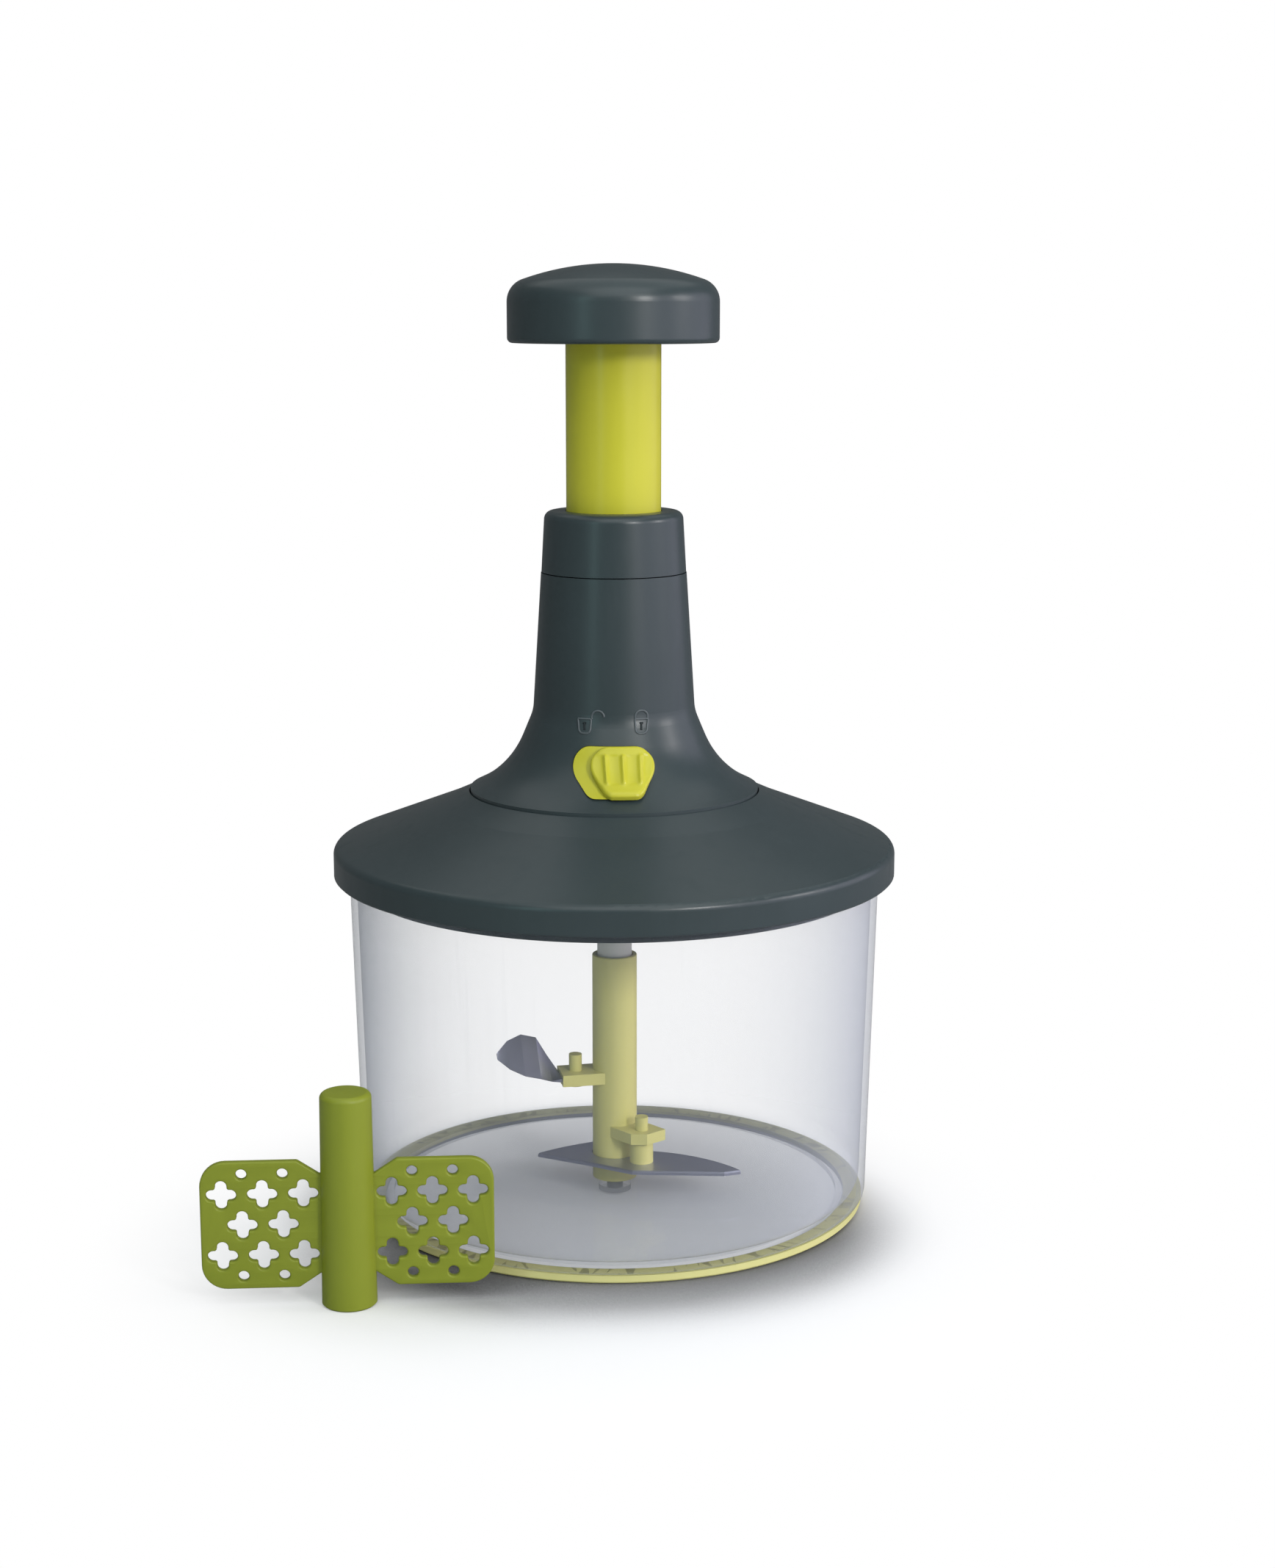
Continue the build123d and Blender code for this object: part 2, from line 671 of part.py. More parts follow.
# Blade pins: each goes up through its blade and lug and stands proud of the lug
with BuildPart() as blade_pins:
    for angle, head_z, top_z in (
        (UPPER_LUG_ANGLE, upper_lug_z, upper_lug_z + UPPER_LUG_H + UPPER_PIN_STAND),
        (LOWER_LUG_ANGLE, lower_blade_z, lower_lug_z + LOWER_LUG_H + LOWER_PIN_STAND),
    ):
        with BuildSketch(Plane.XY.offset(head_z)):
            with Locations(around(angle, LUG_PIN_REACH)):
                Circle(LUG_PIN_HEAD_R)
        extrude(amount=-LUG_PIN_HEAD_H)
        with BuildSketch(Plane.XY.offset(head_z)):
            with Locations(around(angle, LUG_PIN_REACH)):
                Circle(LUG_PIN_R)
        extrude(amount=top_z - head_z)
finish(blade_pins, "blade_pins")

# Lid dome: skirt band, sloping dome, shelf that carries the neck, and bosses for the plate
bowl_bore_r = bowl_outer_r(plate_z - PLUG_DEPTH) - BOWL_WALL
plug_r = bowl_bore_r - PLUG_GAP
plate_screw_ring = plug_r - PLUG_WALL - PLATE_SCREW_INSET
dome_line = [(dome_edge_r, dome_edge_z), (SHOULDER_R, shoulder_z), (LID_R, rim_z)]
inner_shoulder = beside(dome_line, LID_WALL)[1]
inner_rim_r = LID_R - LID_WALL
inner_rim_z = inner_shoulder[1] - (inner_rim_r - inner_shoulder[0]) * tan(radians(DOME_SLOPE))
with BuildPart() as lid_dome:
    with BuildSketch(Plane.XY.offset(plate_top_z)):
        with PolarLocations(plate_screw_ring, PLATE_SCREWS, PLATE_SCREW_START):
            Circle(PLATE_BOSS_R)
    extrude(amount=dome_edge_z - plate_top_z)
    middle_edge, middle_shoulder, middle_rim = beside(dome_line, LID_WALL / 2)
    revolve(
        profile(
            [
                (0, plate_top_z),
                (middle_rim[0], plate_top_z),
                middle_rim,
                middle_shoulder,
                middle_edge,
                (0, middle_edge[1]),
            ]
        ),
        axis=Axis.Z,
        mode=Mode.INTERSECT,
    )
    with BuildSketch(Plane.XZ) as dome_section:
        with BuildLine():
            Polyline(
                *dome_line,
                (LID_R, skirt_z),
                (inner_rim_r, skirt_z),
                (inner_rim_r, inner_rim_z),
                inner_shoulder,
                (dome_edge_r + LID_WALL, shelf_top_z - SHELF_T),
                (shelf_hole_r, shelf_top_z - SHELF_T),
                (shelf_hole_r, shelf_top_z),
                (dome_edge_r, shelf_top_z),
                close=True,
            )
        make_face()
        fillet(dome_section.vertices().sort_by_distance((LID_R, rim_z))[0], RIM_ROUND)
        chamfer(dome_section.vertices().sort_by_distance((LID_R, skirt_z))[0], SKIRT_EDGE)
    revolve(axis=Axis.Z)
    with BuildSketch(Plane.XY.offset(plate_top_z)):
        with PolarLocations(plate_screw_ring, PLATE_SCREWS, PLATE_SCREW_START):
            Circle(SCREW_SHANK_R)
    extrude(amount=PLATE_SCREW_LENGTH - PLATE_T, mode=Mode.SUBTRACT)
    with BuildSketch(Plane.XY.offset(shelf_top_z)):
        with PolarLocations(neck_screw_ring, NECK_SCREWS, NECK_SCREW_START):
            Circle(SCREW_SHANK_R + RUNNING_FIT)
    extrude(amount=-SHELF_T, mode=Mode.SUBTRACT)
finish(lid_dome, "lid_dome")

# Underplate: closes the lid, plugs into the bowl and carries the hub
with BuildPart() as lid_underplate:
    plate_r = LID_R - LID_WALL - PLATE_EDGE_GAP
    with BuildSketch(Plane.XY.offset(plate_z)):
        Circle(plate_r)
    extrude(amount=PLATE_T)
    with BuildSketch(Plane.XY.offset(plate_z)):
        Circle(plug_r)
        Circle(plug_r - PLUG_WALL, mode=Mode.SUBTRACT)
    extrude(amount=-PLUG_DEPTH)
    with BuildSketch(Plane.XY.offset(hub_foot_z)):
        Circle(hub_r)
    extrude(amount=HUB_DROP)
    with BuildSketch(Plane.XY.offset(plate_z - SEAL_Z_INSET)):
        Circle(bowl_bore_r)
        Circle(plug_r - SEAL_DEPTH, mode=Mode.SUBTRACT)
    extrude(amount=-SEAL_HEIGHT, mode=Mode.SUBTRACT)
    with BuildSketch(Plane.XY.offset(hub_foot_z)):
        Circle(bush_r)
    extrude(amount=HUB_DROP + PLATE_T, mode=Mode.SUBTRACT)
    with BuildSketch(Plane.XY.offset(plate_z)):
        with PolarLocations(plate_screw_ring, PLATE_SCREWS, PLATE_SCREW_START):
            Circle(SCREW_SHANK_R + RUNNING_FIT)
        with PolarLocations(sleeve_screw_ring, SLEEVE_SCREWS, SLEEVE_SCREW_START):
            Circle(SCREW_SHANK_R + RUNNING_FIT)
    extrude(amount=PLATE_T, mode=Mode.SUBTRACT)
finish(lid_underplate, "lid_underplate")

# Seal: a soft ring in the plug's groove with two lips towards the bowl
seal_in_r = plug_r - SEAL_DEPTH
seal_out_r = bowl_outer_r(plate_z - SEAL_Z_INSET - SEAL_HEIGHT) - BOWL_WALL - SLIDING_FIT
with BuildPart() as lid_seal:
    seal_top = plate_z - SEAL_Z_INSET
    seal_low = seal_top - SEAL_HEIGHT
    groove = SEAL_HEIGHT * 0.2
    revolve(
        profile(
            [
                (seal_in_r, seal_low),
                (seal_out_r, seal_low + groove),
                (seal_out_r, seal_low + 2 * groove),
                (plug_r, seal_low + 2.5 * groove),
                (seal_out_r, seal_low + 3 * groove),
                (seal_out_r, seal_low + 4 * groove),
                (seal_in_r, seal_top),
            ]
        ),
        axis=Axis.Z,
    )
finish(lid_seal, "lid_seal")

# Bush: the plain bearing that the spindle turns in
with BuildPart() as spindle_bush:
    with BuildSketch(Plane.XY.offset(hub_foot_z)):
        Circle(bush_r)
    extrude(amount=plate_top_z - hub_foot_z)
    with BuildSketch(Plane.XY.offset(plate_top_z)):
        Circle(BUSH_FLANGE_R)
    extrude(amount=BUSH_FLANGE_T)
    with BuildSketch(Plane.XY.offset(hub_foot_z)):
        Circle(spindle_r + RUNNING_FIT)
    extrude(amount=bush_top_z - hub_foot_z, mode=Mode.SUBTRACT)
finish(spindle_bush, "spindle_bush")

# Thrust washer between the bush's flange and the clutch plate
with BuildPart() as thrust_washer:
    with BuildSketch(Plane.XY.offset(bush_top_z + RUNNING_FIT)):
        Circle(BUSH_FLANGE_R)
        Circle(spindle_r + RUNNING_FIT, mode=Mode.SUBTRACT)
    extrude(amount=WASHER_T)
finish(thrust_washer, "thrust_washer")

# Cover: an upside-down cup over the clutch that the return spring stands on
with BuildPart() as clutch_cover:
    with BuildSketch(Plane.XY.offset(plate_top_z)):
        Circle(COVER_R)
    extrude(amount=cover_top_z - plate_top_z)
    with BuildSketch(Plane.XY.offset(plate_top_z)):
        Circle(COVER_R - COVER_WALL)
    extrude(amount=cover_inside_z - plate_top_z, mode=Mode.SUBTRACT)
    with BuildSketch(Plane.XY.offset(cover_inside_z)):
        Circle(spindle_bore_r + RUNNING_FIT)
    extrude(amount=COVER_TOP_T, mode=Mode.SUBTRACT)
    chamfer(clutch_cover.edges().group_by(Axis.Z)[-1].sort_by(SortBy.RADIUS)[-1], COVER_EDGE)
finish(clutch_cover, "clutch_cover")


def ratchet_teeth(base_z, up, first_angle):
    """Small ramps that stand on a face when up is 1, or hang from it when up is -1."""
    teeth = []
    mean_r = (CLUTCH_TOOTH_INNER_R + CLUTCH_TOOTH_OUTER_R) / 2
    for i in range(CLUTCH_TEETH):
        angle = first_angle + 360.0 / CLUTCH_TEETH * i
        middle = Vector(*around(angle, mean_r, base_z))
        outwards = Vector(*around(angle, 1))
        with BuildPart() as tooth:
            with BuildSketch(
                Plane(origin=middle, x_dir=(-outwards.Y, outwards.X, 0), z_dir=outwards)
            ):
                with BuildLine():
                    Polyline(
                        (-CLUTCH_TOOTH_W / 2, 0),
                        (CLUTCH_TOOTH_W / 2, 0),
                        (-CLUTCH_TOOTH_W / 2 * up, CLUTCH_TOOTH_H * up),
                        close=True,
                    )
                make_face()
            extrude(amount=(CLUTCH_TOOTH_OUTER_R - CLUTCH_TOOTH_INNER_R) / 2, both=True)
        teeth.append(tooth.part)
    return teeth


# Drive spindle: a hollow shaft with the clutch plate on top and grooves that fit the stem
plate_teeth = ratchet_teeth(clutch_top_z, 1, 0)
with BuildPart() as drive_spindle:
    with BuildSketch(Plane.XY.offset(spindle_tip_z)):
        Circle(spindle_r)
    extrude(amount=clutch_z - spindle_tip_z)
    chamfer(drive_spindle.edges().group_by(Axis.Z)[0], SPINDLE_TIP_EDGE)
    with BuildSketch(Plane.XY.offset(clutch_z)):
        Circle(CLUTCH_PLATE_R)
    extrude(amount=CLUTCH_PLATE_T)
    add(plate_teeth)
    with BuildSketch(Plane.XY.offset(spindle_tip_z)):
        Circle(spindle_bore_r)
    extrude(amount=clutch_top_z - spindle_tip_z, mode=Mode.SUBTRACT)
    with BuildSketch(Plane.XY.offset(spindle_tip_z)):
        with PolarLocations(spindle_r, SPLINE_COUNT, SPLINE_START):
            Rectangle(2 * (spindle_r - spline_tip_r + SPLINE_GAP), SPLINE_W + 2 * SPLINE_GAP)
    extrude(amount=spline_top_z + SLIDING_FIT - spindle_tip_z, mode=Mode.SUBTRACT)
    with BuildSketch(Plane.XY.offset(hub_foot_z - RUNNING_FIT)):
        Circle(CLIP_R)
        Circle(spindle_r - CLIP_GROOVE, mode=Mode.SUBTRACT)
    extrude(amount=-CLIP_T - 2 * RUNNING_FIT, mode=Mode.SUBTRACT)
finish(drive_spindle, "drive_spindle")

# Spring clip: the open ring that holds the spindle up in its bush
with BuildPart() as spindle_clip:
    with BuildSketch(Plane.XY.offset(hub_foot_z - 2 * RUNNING_FIT)):
        Circle(CLIP_R)
        Circle(spindle_r - CLIP_GROOVE + RUNNING_FIT, mode=Mode.SUBTRACT)
        with Locations((0, -CLIP_R)):
            Rectangle(CLIP_MOUTH, 2 * CLIP_R - CLIP_MOUTH, mode=Mode.SUBTRACT)
    extrude(amount=-CLIP_T)
finish(spindle_clip, "spindle_clip")

# Drive nut: a disc with a twisted slot for the rod and ratchet teeth below
nut_teeth = ratchet_teeth(nut_z, -1, 180.0 / CLUTCH_TEETH)
with BuildPart() as drive_nut:
    with BuildSketch(Plane.XY.offset(nut_z)):
        Circle(NUT_R)
    extrude(amount=NUT_T)
    chamfer(drive_nut.edges().group_by(Axis.Z)[-1], NUT_EDGE)
    add(nut_teeth)
    slot_faces = [
        strip_face(z, ROD_SLOT_GAP) for z in twist_heights(nut_z - CLUTCH_GAP, nut_top_z + CLUTCH_GAP)
    ]
    loft(slot_faces, ruled=True, mode=Mode.SUBTRACT)
finish(drive_nut, "drive_nut")

# Twisted rod: the flat strip that turns the nut, with a straight top held in the plunger
with BuildPart() as twisted_rod:
    loft([strip_face(z, 0) for z in twist_heights(rod_foot_z, rod_straight_z)], ruled=True)
    with BuildSketch(Plane.XY.offset(rod_straight_z)):
        Rectangle(ROD_W, ROD_T)
    extrude(amount=flange_top_z + ROD_HEAD_LENGTH - rod_straight_z)
    with BuildSketch(Plane.XY.offset(tube_end_z - ROD_SHOULDER_LENGTH)):
        Rectangle(ROD_SHOULDER_W, ROD_T)
    extrude(amount=ROD_SHOULDER_LENGTH - RUNNING_FIT)
    with BuildSketch(Plane.XZ):
        with Locations((0, flange_top_z + ROD_PIN_R + RUNNING_FIT)):
            Circle(ROD_PIN_R + RUNNING_FIT)
    extrude(amount=ROD_T, both=True, mode=Mode.SUBTRACT)
finish(twisted_rod, "twisted_rod")

# Rod pin: lies across the end of the tube and hangs the rod from it
with BuildPart() as rod_pin:
    with BuildSketch(Plane.XZ):
        with Locations((0, flange_top_z + ROD_PIN_R + RUNNING_FIT)):
            Circle(ROD_PIN_R)
    extrude(amount=ROD_PIN_LENGTH / 2, both=True)
    chamfer(rod_pin.edges(), ROD_PIN_EDGE)
finish(rod_pin, "rod_pin")

# Neck housing: the flared shell on the dome, with screw bosses, the track's pocket and a slot
lock_left = LOCK_TRAVEL - LOCK_REST_ANGLE
lock_r = WAIST_R + (FLARE_R - WAIST_R) * (neck_z + WAIST_HEIGHT - post_z) / (
    WAIST_HEIGHT - FLARE_HEIGHT
)
track_shift = lock_r * (sin(radians(LOCK_REST_ANGLE)) - sin(radians(lock_left))) / 2
track_spread = lock_r * (sin(radians(LOCK_REST_ANGLE)) + sin(radians(lock_left))) / 2


def lock_shape(plane, extra, shift, spread):
    """Outline of the lock button on a plane, grown by extra and spread to both sides."""
    top = LOCK_TOP_W / 2 + extra + spread
    wide = LOCK_WIDE_W / 2 + extra + spread
    low = LOCK_BOTTOM_W / 2 + extra + spread
    with BuildSketch(plane) as shape:
        with BuildLine():
            Polyline(
                (shift - low, lock_low_z - extra),
                (shift + low, lock_low_z - extra),
                (shift + wide, lock_wide_z),
                (shift + top, lock_high_z + extra),
                (shift - top, lock_high_z + extra),
                (shift - wide, lock_wide_z),
                close=True,
            )
        make_face()
        fillet(shape.vertices().group_by(Axis.Y)[0], LOCK_BOTTOM_R)
        fillet(shape.vertices().group_by(Axis.Y)[-1], LOCK_TOP_R)
        across = shape.vertices().sort_by(Axis.X)
        fillet([across[0], across[-1]], LOCK_SIDE_R)
    return shape.sketch


def front_slot(plane, width, height, shift=0.0):
    """A plain rectangle on a plane that faces the front, about the lock's post."""
    with BuildSketch(plane) as shape:
        with Locations((shift, post_z)):
            Rectangle(width, height)
    return shape.sketch


straight_front = front_plane(0)
slot_shape = front_slot(
    straight_front, POST_W + 2 * (track_spread + SLIDING_FIT), POST_H + 2 * SLIDING_FIT, track_shift
)
track_pocket = front_shell(
    -TRACK_DEPTH,
    LID_WALL,
    lock_shape(straight_front, TRACK_FIT - TRACK_INSET, track_shift, track_spread),
)
with BuildPart() as neck_housing:
    with BuildSketch(Plane.XY.offset(neck_foot_z)):
        with PolarLocations(neck_screw_ring, NECK_SCREWS, NECK_SCREW_START):
            Circle(NECK_BOSS_R)
    extrude(amount=NECK_SCREW_LENGTH + NECK_BOSS_R)
    revolve(neck_face(-LID_WALL / 2), axis=Axis.Z, mode=Mode.INTERSECT)
    revolve(neck_face(0) - neck_face(-LID_WALL), axis=Axis.Z)
    with BuildSketch(Plane.XY.offset(neck_foot_z)):
        with PolarLocations(neck_screw_ring, NECK_SCREWS, NECK_SCREW_START):
            Circle(SCREW_SHANK_R)
    extrude(amount=NECK_SCREW_LENGTH - SHELF_T, mode=Mode.SUBTRACT)
    add(track_pocket, mode=Mode.SUBTRACT)
    extrude(slot_shape, amount=LID_R, mode=Mode.SUBTRACT)
finish(neck_housing, "neck_housing")

# Lock track: the inset plate that the button slides on
track_plate = front_shell(
    -TRACK_DEPTH, TRACK_PROUD, lock_shape(straight_front, -TRACK_INSET, track_shift, track_spread)
)
with BuildPart() as lock_track:
    add(track_plate)
    extrude(slot_shape, amount=LID_R, mode=Mode.SUBTRACT)
finish(lock_track, "lock_track")

# Lock button: its ridged face, and the post that goes in through the track and the neck
lock_front = front_plane(LOCK_REST_ANGLE)
carrier_out = -LID_WALL - CARRIER_GAP
carrier_in = carrier_out - CARRIER_T
button_out = TRACK_PROUD + BUTTON_GAP
button_face = front_shell(button_out, button_out + BUTTON_T, lock_shape(lock_front, 0, 0, 0))
button_post = front_shell(
    carrier_in, button_out + BUTTON_T / 2, front_slot(lock_front, POST_W, POST_H)
)
ridge_height = LOCK_HIGH - LOCK_LOW - 2 * RIDGE_MARGIN
ridge_span = BUTTON_RIDGE_PITCH * (BUTTON_RIDGES - 1)
with BuildPart() as lock_button:
    add(button_face)
    for i in range(BUTTON_RIDGES):
        ridge_x = BUTTON_RIDGE_PITCH * i - ridge_span / 2
        add(
            front_shell(
                button_out + BUTTON_T / 2,
                button_out + BUTTON_T + BUTTON_RIDGE_PROUD,
                front_slot(lock_front, 2 * BUTTON_RIDGE_R, ridge_height, ridge_x),
            )
        )
    add(button_post)
finish(lock_button, "lock_button")

# Lock carrier: the plate inside the neck, clipped to the post, with the finger of the catch
finger_tip_r = TUBE_R + CATCH_GAP
carrier_plate = front_shell(carrier_in, carrier_out, front_slot(lock_front, CARRIER_W, CARRIER_H))
with BuildPart() as lock_carrier:
    with BuildSketch(front_plane(LOCK_REST_ANGLE, finger_tip_r)):
        with Locations((0, finger_z)):
            Rectangle(FINGER_W, FINGER_H)
    extrude(amount=LID_R)
    revolve(
        neck_face(carrier_out - CARRIER_T / 2, plate_top_z), axis=Axis.Z, mode=Mode.INTERSECT
    )
    add(carrier_plate)
    extrude(
        front_slot(lock_front, POST_W + 2 * RUNNING_FIT, POST_H + 2 * RUNNING_FIT),
        amount=LID_R,
        mode=Mode.SUBTRACT,
    )
finish(lock_carrier, "lock_carrier")

# Collar: sits on the neck, guides the plunger and stops it at the top of its travel
locating_r = NECK_TOP_R - LID_WALL - SEAT_GAP
collar_foot_r = NECK_TOP_R - COLLAR_STEP
collar_head_r = collar_foot_r - COLLAR_TAPER
with BuildPart() as neck_collar:
    with BuildSketch(Plane.XZ) as collar_section:
        with BuildLine():
            Polyline(
                (collar_bore_r, spigot_z),
                (spigot_r, spigot_z),
                (spigot_r, collar_z),
                (locating_r - LOCATING_RIB_W, collar_z),
                (locating_r - LOCATING_RIB_W, collar_z - LOCATING_RIB_H),
                (locating_r, collar_z - LOCATING_RIB_H),
                (locating_r, collar_z),
                (collar_foot_r, collar_z),
                (collar_head_r, collar_top_z),
                (collar_bore_r, collar_top_z),
                close=True,
            )
        make_face()
        fillet(
            collar_section.vertices().sort_by_distance((collar_head_r, collar_top_z))[0],
            COLLAR_ROUND,
        )
    revolve(axis=Axis.Z)
finish(neck_collar, "neck_collar")

# Guide sleeve: screwed to the underplate, with slots for the plunger's keys and a window
lug_angles = [TUBE_LUG_START + 360 / TUBE_LUGS * i for i in range(TUBE_LUGS)]
window_angle = max(LOCK_REST_ANGLE, lock_left) + WINDOW_SIDE_ANGLE
with BuildPart() as guide_sleeve:
    with BuildSketch(Plane.XY.offset(plate_top_z)):
        Circle(sleeve_foot_r)
    extrude(amount=SLEEVE_FOOT_T)
    with BuildSketch(Plane.XY.offset(plate_top_z)):
        Circle(sleeve_r)
    extrude(amount=sleeve_top_z - plate_top_z)
    with BuildSketch(Plane.XY.offset(plate_top_z)):
        with PolarLocations(sleeve_screw_ring, SLEEVE_SCREWS, SLEEVE_SCREW_START):
            Circle(SLEEVE_BOSS_R)
    extrude(amount=SLEEVE_FOOT_T + SLEEVE_BOSS_H)
    with BuildSketch(Plane.XY.offset(plate_top_z)):
        Circle(sleeve_bore_r)
    extrude(amount=sleeve_top_z - plate_top_z, mode=Mode.SUBTRACT)
    with BuildSketch(Plane.XY.offset(tube_foot_z - STROKE - SLIDING_FIT)):
        for angle in lug_angles:
            with Locations(Location(around(angle, sleeve_foot_r / 2), angle)):
                Rectangle(sleeve_foot_r, KEY_W + 2 * KEY_GAP)
    extrude(amount=STROKE + TUBE_FOOT_LUG_H + 2 * SLIDING_FIT, mode=Mode.SUBTRACT)
    with BuildSketch(Plane.XY.offset(finger_z)):
        add(wedge(-90, window_angle))
    extrude(amount=FINGER_H / 2 + WINDOW_MARGIN, both=True, mode=Mode.SUBTRACT)
    with BuildSketch(Plane.XY.offset(plate_top_z)):
        with PolarLocations(sleeve_screw_ring, SLEEVE_SCREWS, SLEEVE_SCREW_START):
            Circle(SCREW_SHANK_R)
    extrude(amount=SLEEVE_SCREW_LENGTH - PLATE_T, mode=Mode.SUBTRACT)
finish(guide_sleeve, "guide_sleeve")

# Plunger tube: keyed at its foot, closed at its head, with the catch's recess in its front
key_reach = sleeve_r - KEY_GAP
with BuildPart() as plunger_tube:
    with BuildSketch(Plane.XY.offset(tube_foot_z)):
        for angle in lug_angles:
            add(wedge(angle, TUBE_LUG_HALF_ANGLE))
        Circle(spigot_r, mode=Mode.INTERSECT)
        for angle in lug_angles:
            with Locations(Location(around(angle, key_reach / 2), angle)):
                Rectangle(key_reach, KEY_W)
    extrude(amount=TUBE_FOOT_LUG_H)
    with BuildSketch(Plane.XY.offset(tube_foot_z)):
        Circle(TUBE_R)
    extrude(amount=flange_top_z - tube_foot_z)
    with BuildSketch(Plane.XY.offset(flange_z)):
        Circle(tube_flange_r)
    extrude(amount=TUBE_FLANGE_T)
    with BuildSketch(Plane.XY.offset(tube_foot_z)):
        Circle(tube_bore_r)
    extrude(amount=tube_end_z - tube_foot_z, mode=Mode.SUBTRACT)
    with BuildSketch(Plane.XY.offset(tube_end_z)):
        Rectangle(ROD_W + 2 * RUNNING_FIT, ROD_T + 2 * RUNNING_FIT)
    extrude(amount=TUBE_END_T, mode=Mode.SUBTRACT)
    with BuildSketch(Plane.XY.offset(flange_z)):
        with PolarLocations(knob_screw_ring, KNOB_SCREWS, KNOB_SCREW_START):
            Circle(SCREW_SHANK_R + RUNNING_FIT)
    extrude(amount=TUBE_FLANGE_T, mode=Mode.SUBTRACT)
    with BuildSketch(lock_front):
        with Locations((0, finger_z + STROKE)):
            Rectangle(FINGER_W + 2 * SLIDING_FIT, FINGER_H + 2 * SLIDING_FIT)
    extrude(amount=spigot_r, mode=Mode.SUBTRACT)
finish(plunger_tube, "plunger_tube")


def knob_face(inset):
    """Half section of all that lies inside the knob's surface, moved inwards by inset."""
    with BuildSketch(Plane.XZ) as outline:
        with Locations((0, knob_z + KNOB_HEIGHT - KNOB_CROWN_R)):
            Circle(KNOB_CROWN_R - inset)
        with Locations((0, knob_z)):
            Rectangle(
                2 * (KNOB_R - inset),
                KNOB_HEIGHT,
                align=(Align.CENTER, Align.MIN),
                mode=Mode.INTERSECT,
            )
        fillet(outline.vertices().group_by(Axis.Y)[-1], KNOB_SHOULDER_R - inset)
        with Locations((0, knob_z)):
            Rectangle(KNOB_R, KNOB_HEIGHT, align=(Align.MIN, Align.MIN), mode=Mode.INTERSECT)
    return outline.sketch


# Knob cap: a domed shell with three posts for its screws
with BuildPart() as knob_cap:
    with BuildSketch(Plane.XY.offset(flange_top_z)):
        with PolarLocations(knob_screw_ring, KNOB_SCREWS, KNOB_SCREW_START):
            Circle(KNOB_POST_R)
    extrude(amount=KNOB_HEIGHT)
    revolve(knob_face(KNOB_WALL / 2), axis=Axis.Z, mode=Mode.INTERSECT)
    revolve(knob_face(0) - knob_face(KNOB_WALL), axis=Axis.Z)
    fillet(
        knob_cap.edges().filter_by(GeomType.CIRCLE).group_by(Axis.Z)[0].sort_by(SortBy.RADIUS)[-1],
        KNOB_EDGE_R,
    )
    with BuildSketch(Plane.XY.offset(flange_top_z)):
        with PolarLocations(knob_screw_ring, KNOB_SCREWS, KNOB_SCREW_START):
            Circle(SCREW_SHANK_R)
    extrude(amount=KNOB_SCREW_LENGTH - TUBE_FLANGE_T, mode=Mode.SUBTRACT)
finish(knob_cap, "knob_cap")

# Knob base: the plate that closes the knob around the plunger
with BuildPart() as knob_base:
    with BuildSketch(Plane.XY.offset(knob_base_z)):
        Circle(KNOB_R - KNOB_WALL - SEAT_GAP)
        Circle(TUBE_R + SEAT_GAP, mode=Mode.SUBTRACT)
    extrude(amount=KNOB_BASE_T)
finish(knob_base, "knob_base")

# Screws
screw_group(
    "underplate_screws",
    plate_screw_ring,
    PLATE_SCREWS,
    PLATE_SCREW_START,
    plate_z,
    PLATE_SCREW_LENGTH,
)
screw_group(
    "sleeve_screws",
    sleeve_screw_ring,
    SLEEVE_SCREWS,
    SLEEVE_SCREW_START,
    plate_z,
    SLEEVE_SCREW_LENGTH,
)
screw_group(
    "neck_screws",
    neck_screw_ring,
    NECK_SCREWS,
    NECK_SCREW_START,
    shelf_top_z - SHELF_T,
    NECK_SCREW_LENGTH,
)
screw_group(
    "knob_screws", knob_screw_ring, KNOB_SCREWS, KNOB_SCREW_START, flange_z, KNOB_SCREW_LENGTH
)

# Return spring: wire wound as two tangent arcs in each quarter turn, from the cover to the tube
spring_low = cover_top_z + SPRING_WIRE_R
spring_rise = tube_end_z - SPRING_WIRE_R - spring_low
spring_steps = SPRING_TURNS * 4
step_rise = spring_rise / spring_steps
lead_slope = spring_rise / (SPRING_TURNS * 2 * pi * spring_mean_r)


def spring_point(step):
    """The end of a quarter turn on the spring's centre line, and the wire's direction there."""
    angle = 90.0 * step
    point = Vector(*around(angle, spring_mean_r, spring_low + step_rise * step))
    along = Vector(*around(angle + 90, 1, lead_slope)).normalized()
    return point, along


# Where the two arcs meet, halfway along a quarter turn, they share one tangent
half_rise = step_rise / 2
half_angle = radians(45)
ratio = half_rise * lead_slope / sin(half_angle)
meet_r = -ratio + sqrt(
    ratio**2 + 2 * ratio * spring_mean_r * cos(half_angle) + spring_mean_r**2 + half_rise**2
)
with BuildPart() as return_spring:
    with BuildLine() as coil:
        for step in range(spring_steps):
            start, along = spring_point(step)
            end = spring_point(step + 1)[0]
            meet = Vector(*around(90.0 * step + 45, meet_r, start.Z + half_rise))
            first_arc = TangentArc(start, meet, tangent=along)
            TangentArc(meet, end, tangent=first_arc % 1)
    with BuildSketch(Plane(origin=coil.line @ 0, z_dir=coil.line % 0)):
        Circle(SPRING_WIRE_R)
    sweep(path=coil.line)
finish(return_spring, "return_spring")
spring_gap = step_rise * 4 * cos(atan(lead_slope)) - 2 * SPRING_WIRE_R
print(f"return spring: least gap between turns {spring_gap:.2f} mm")

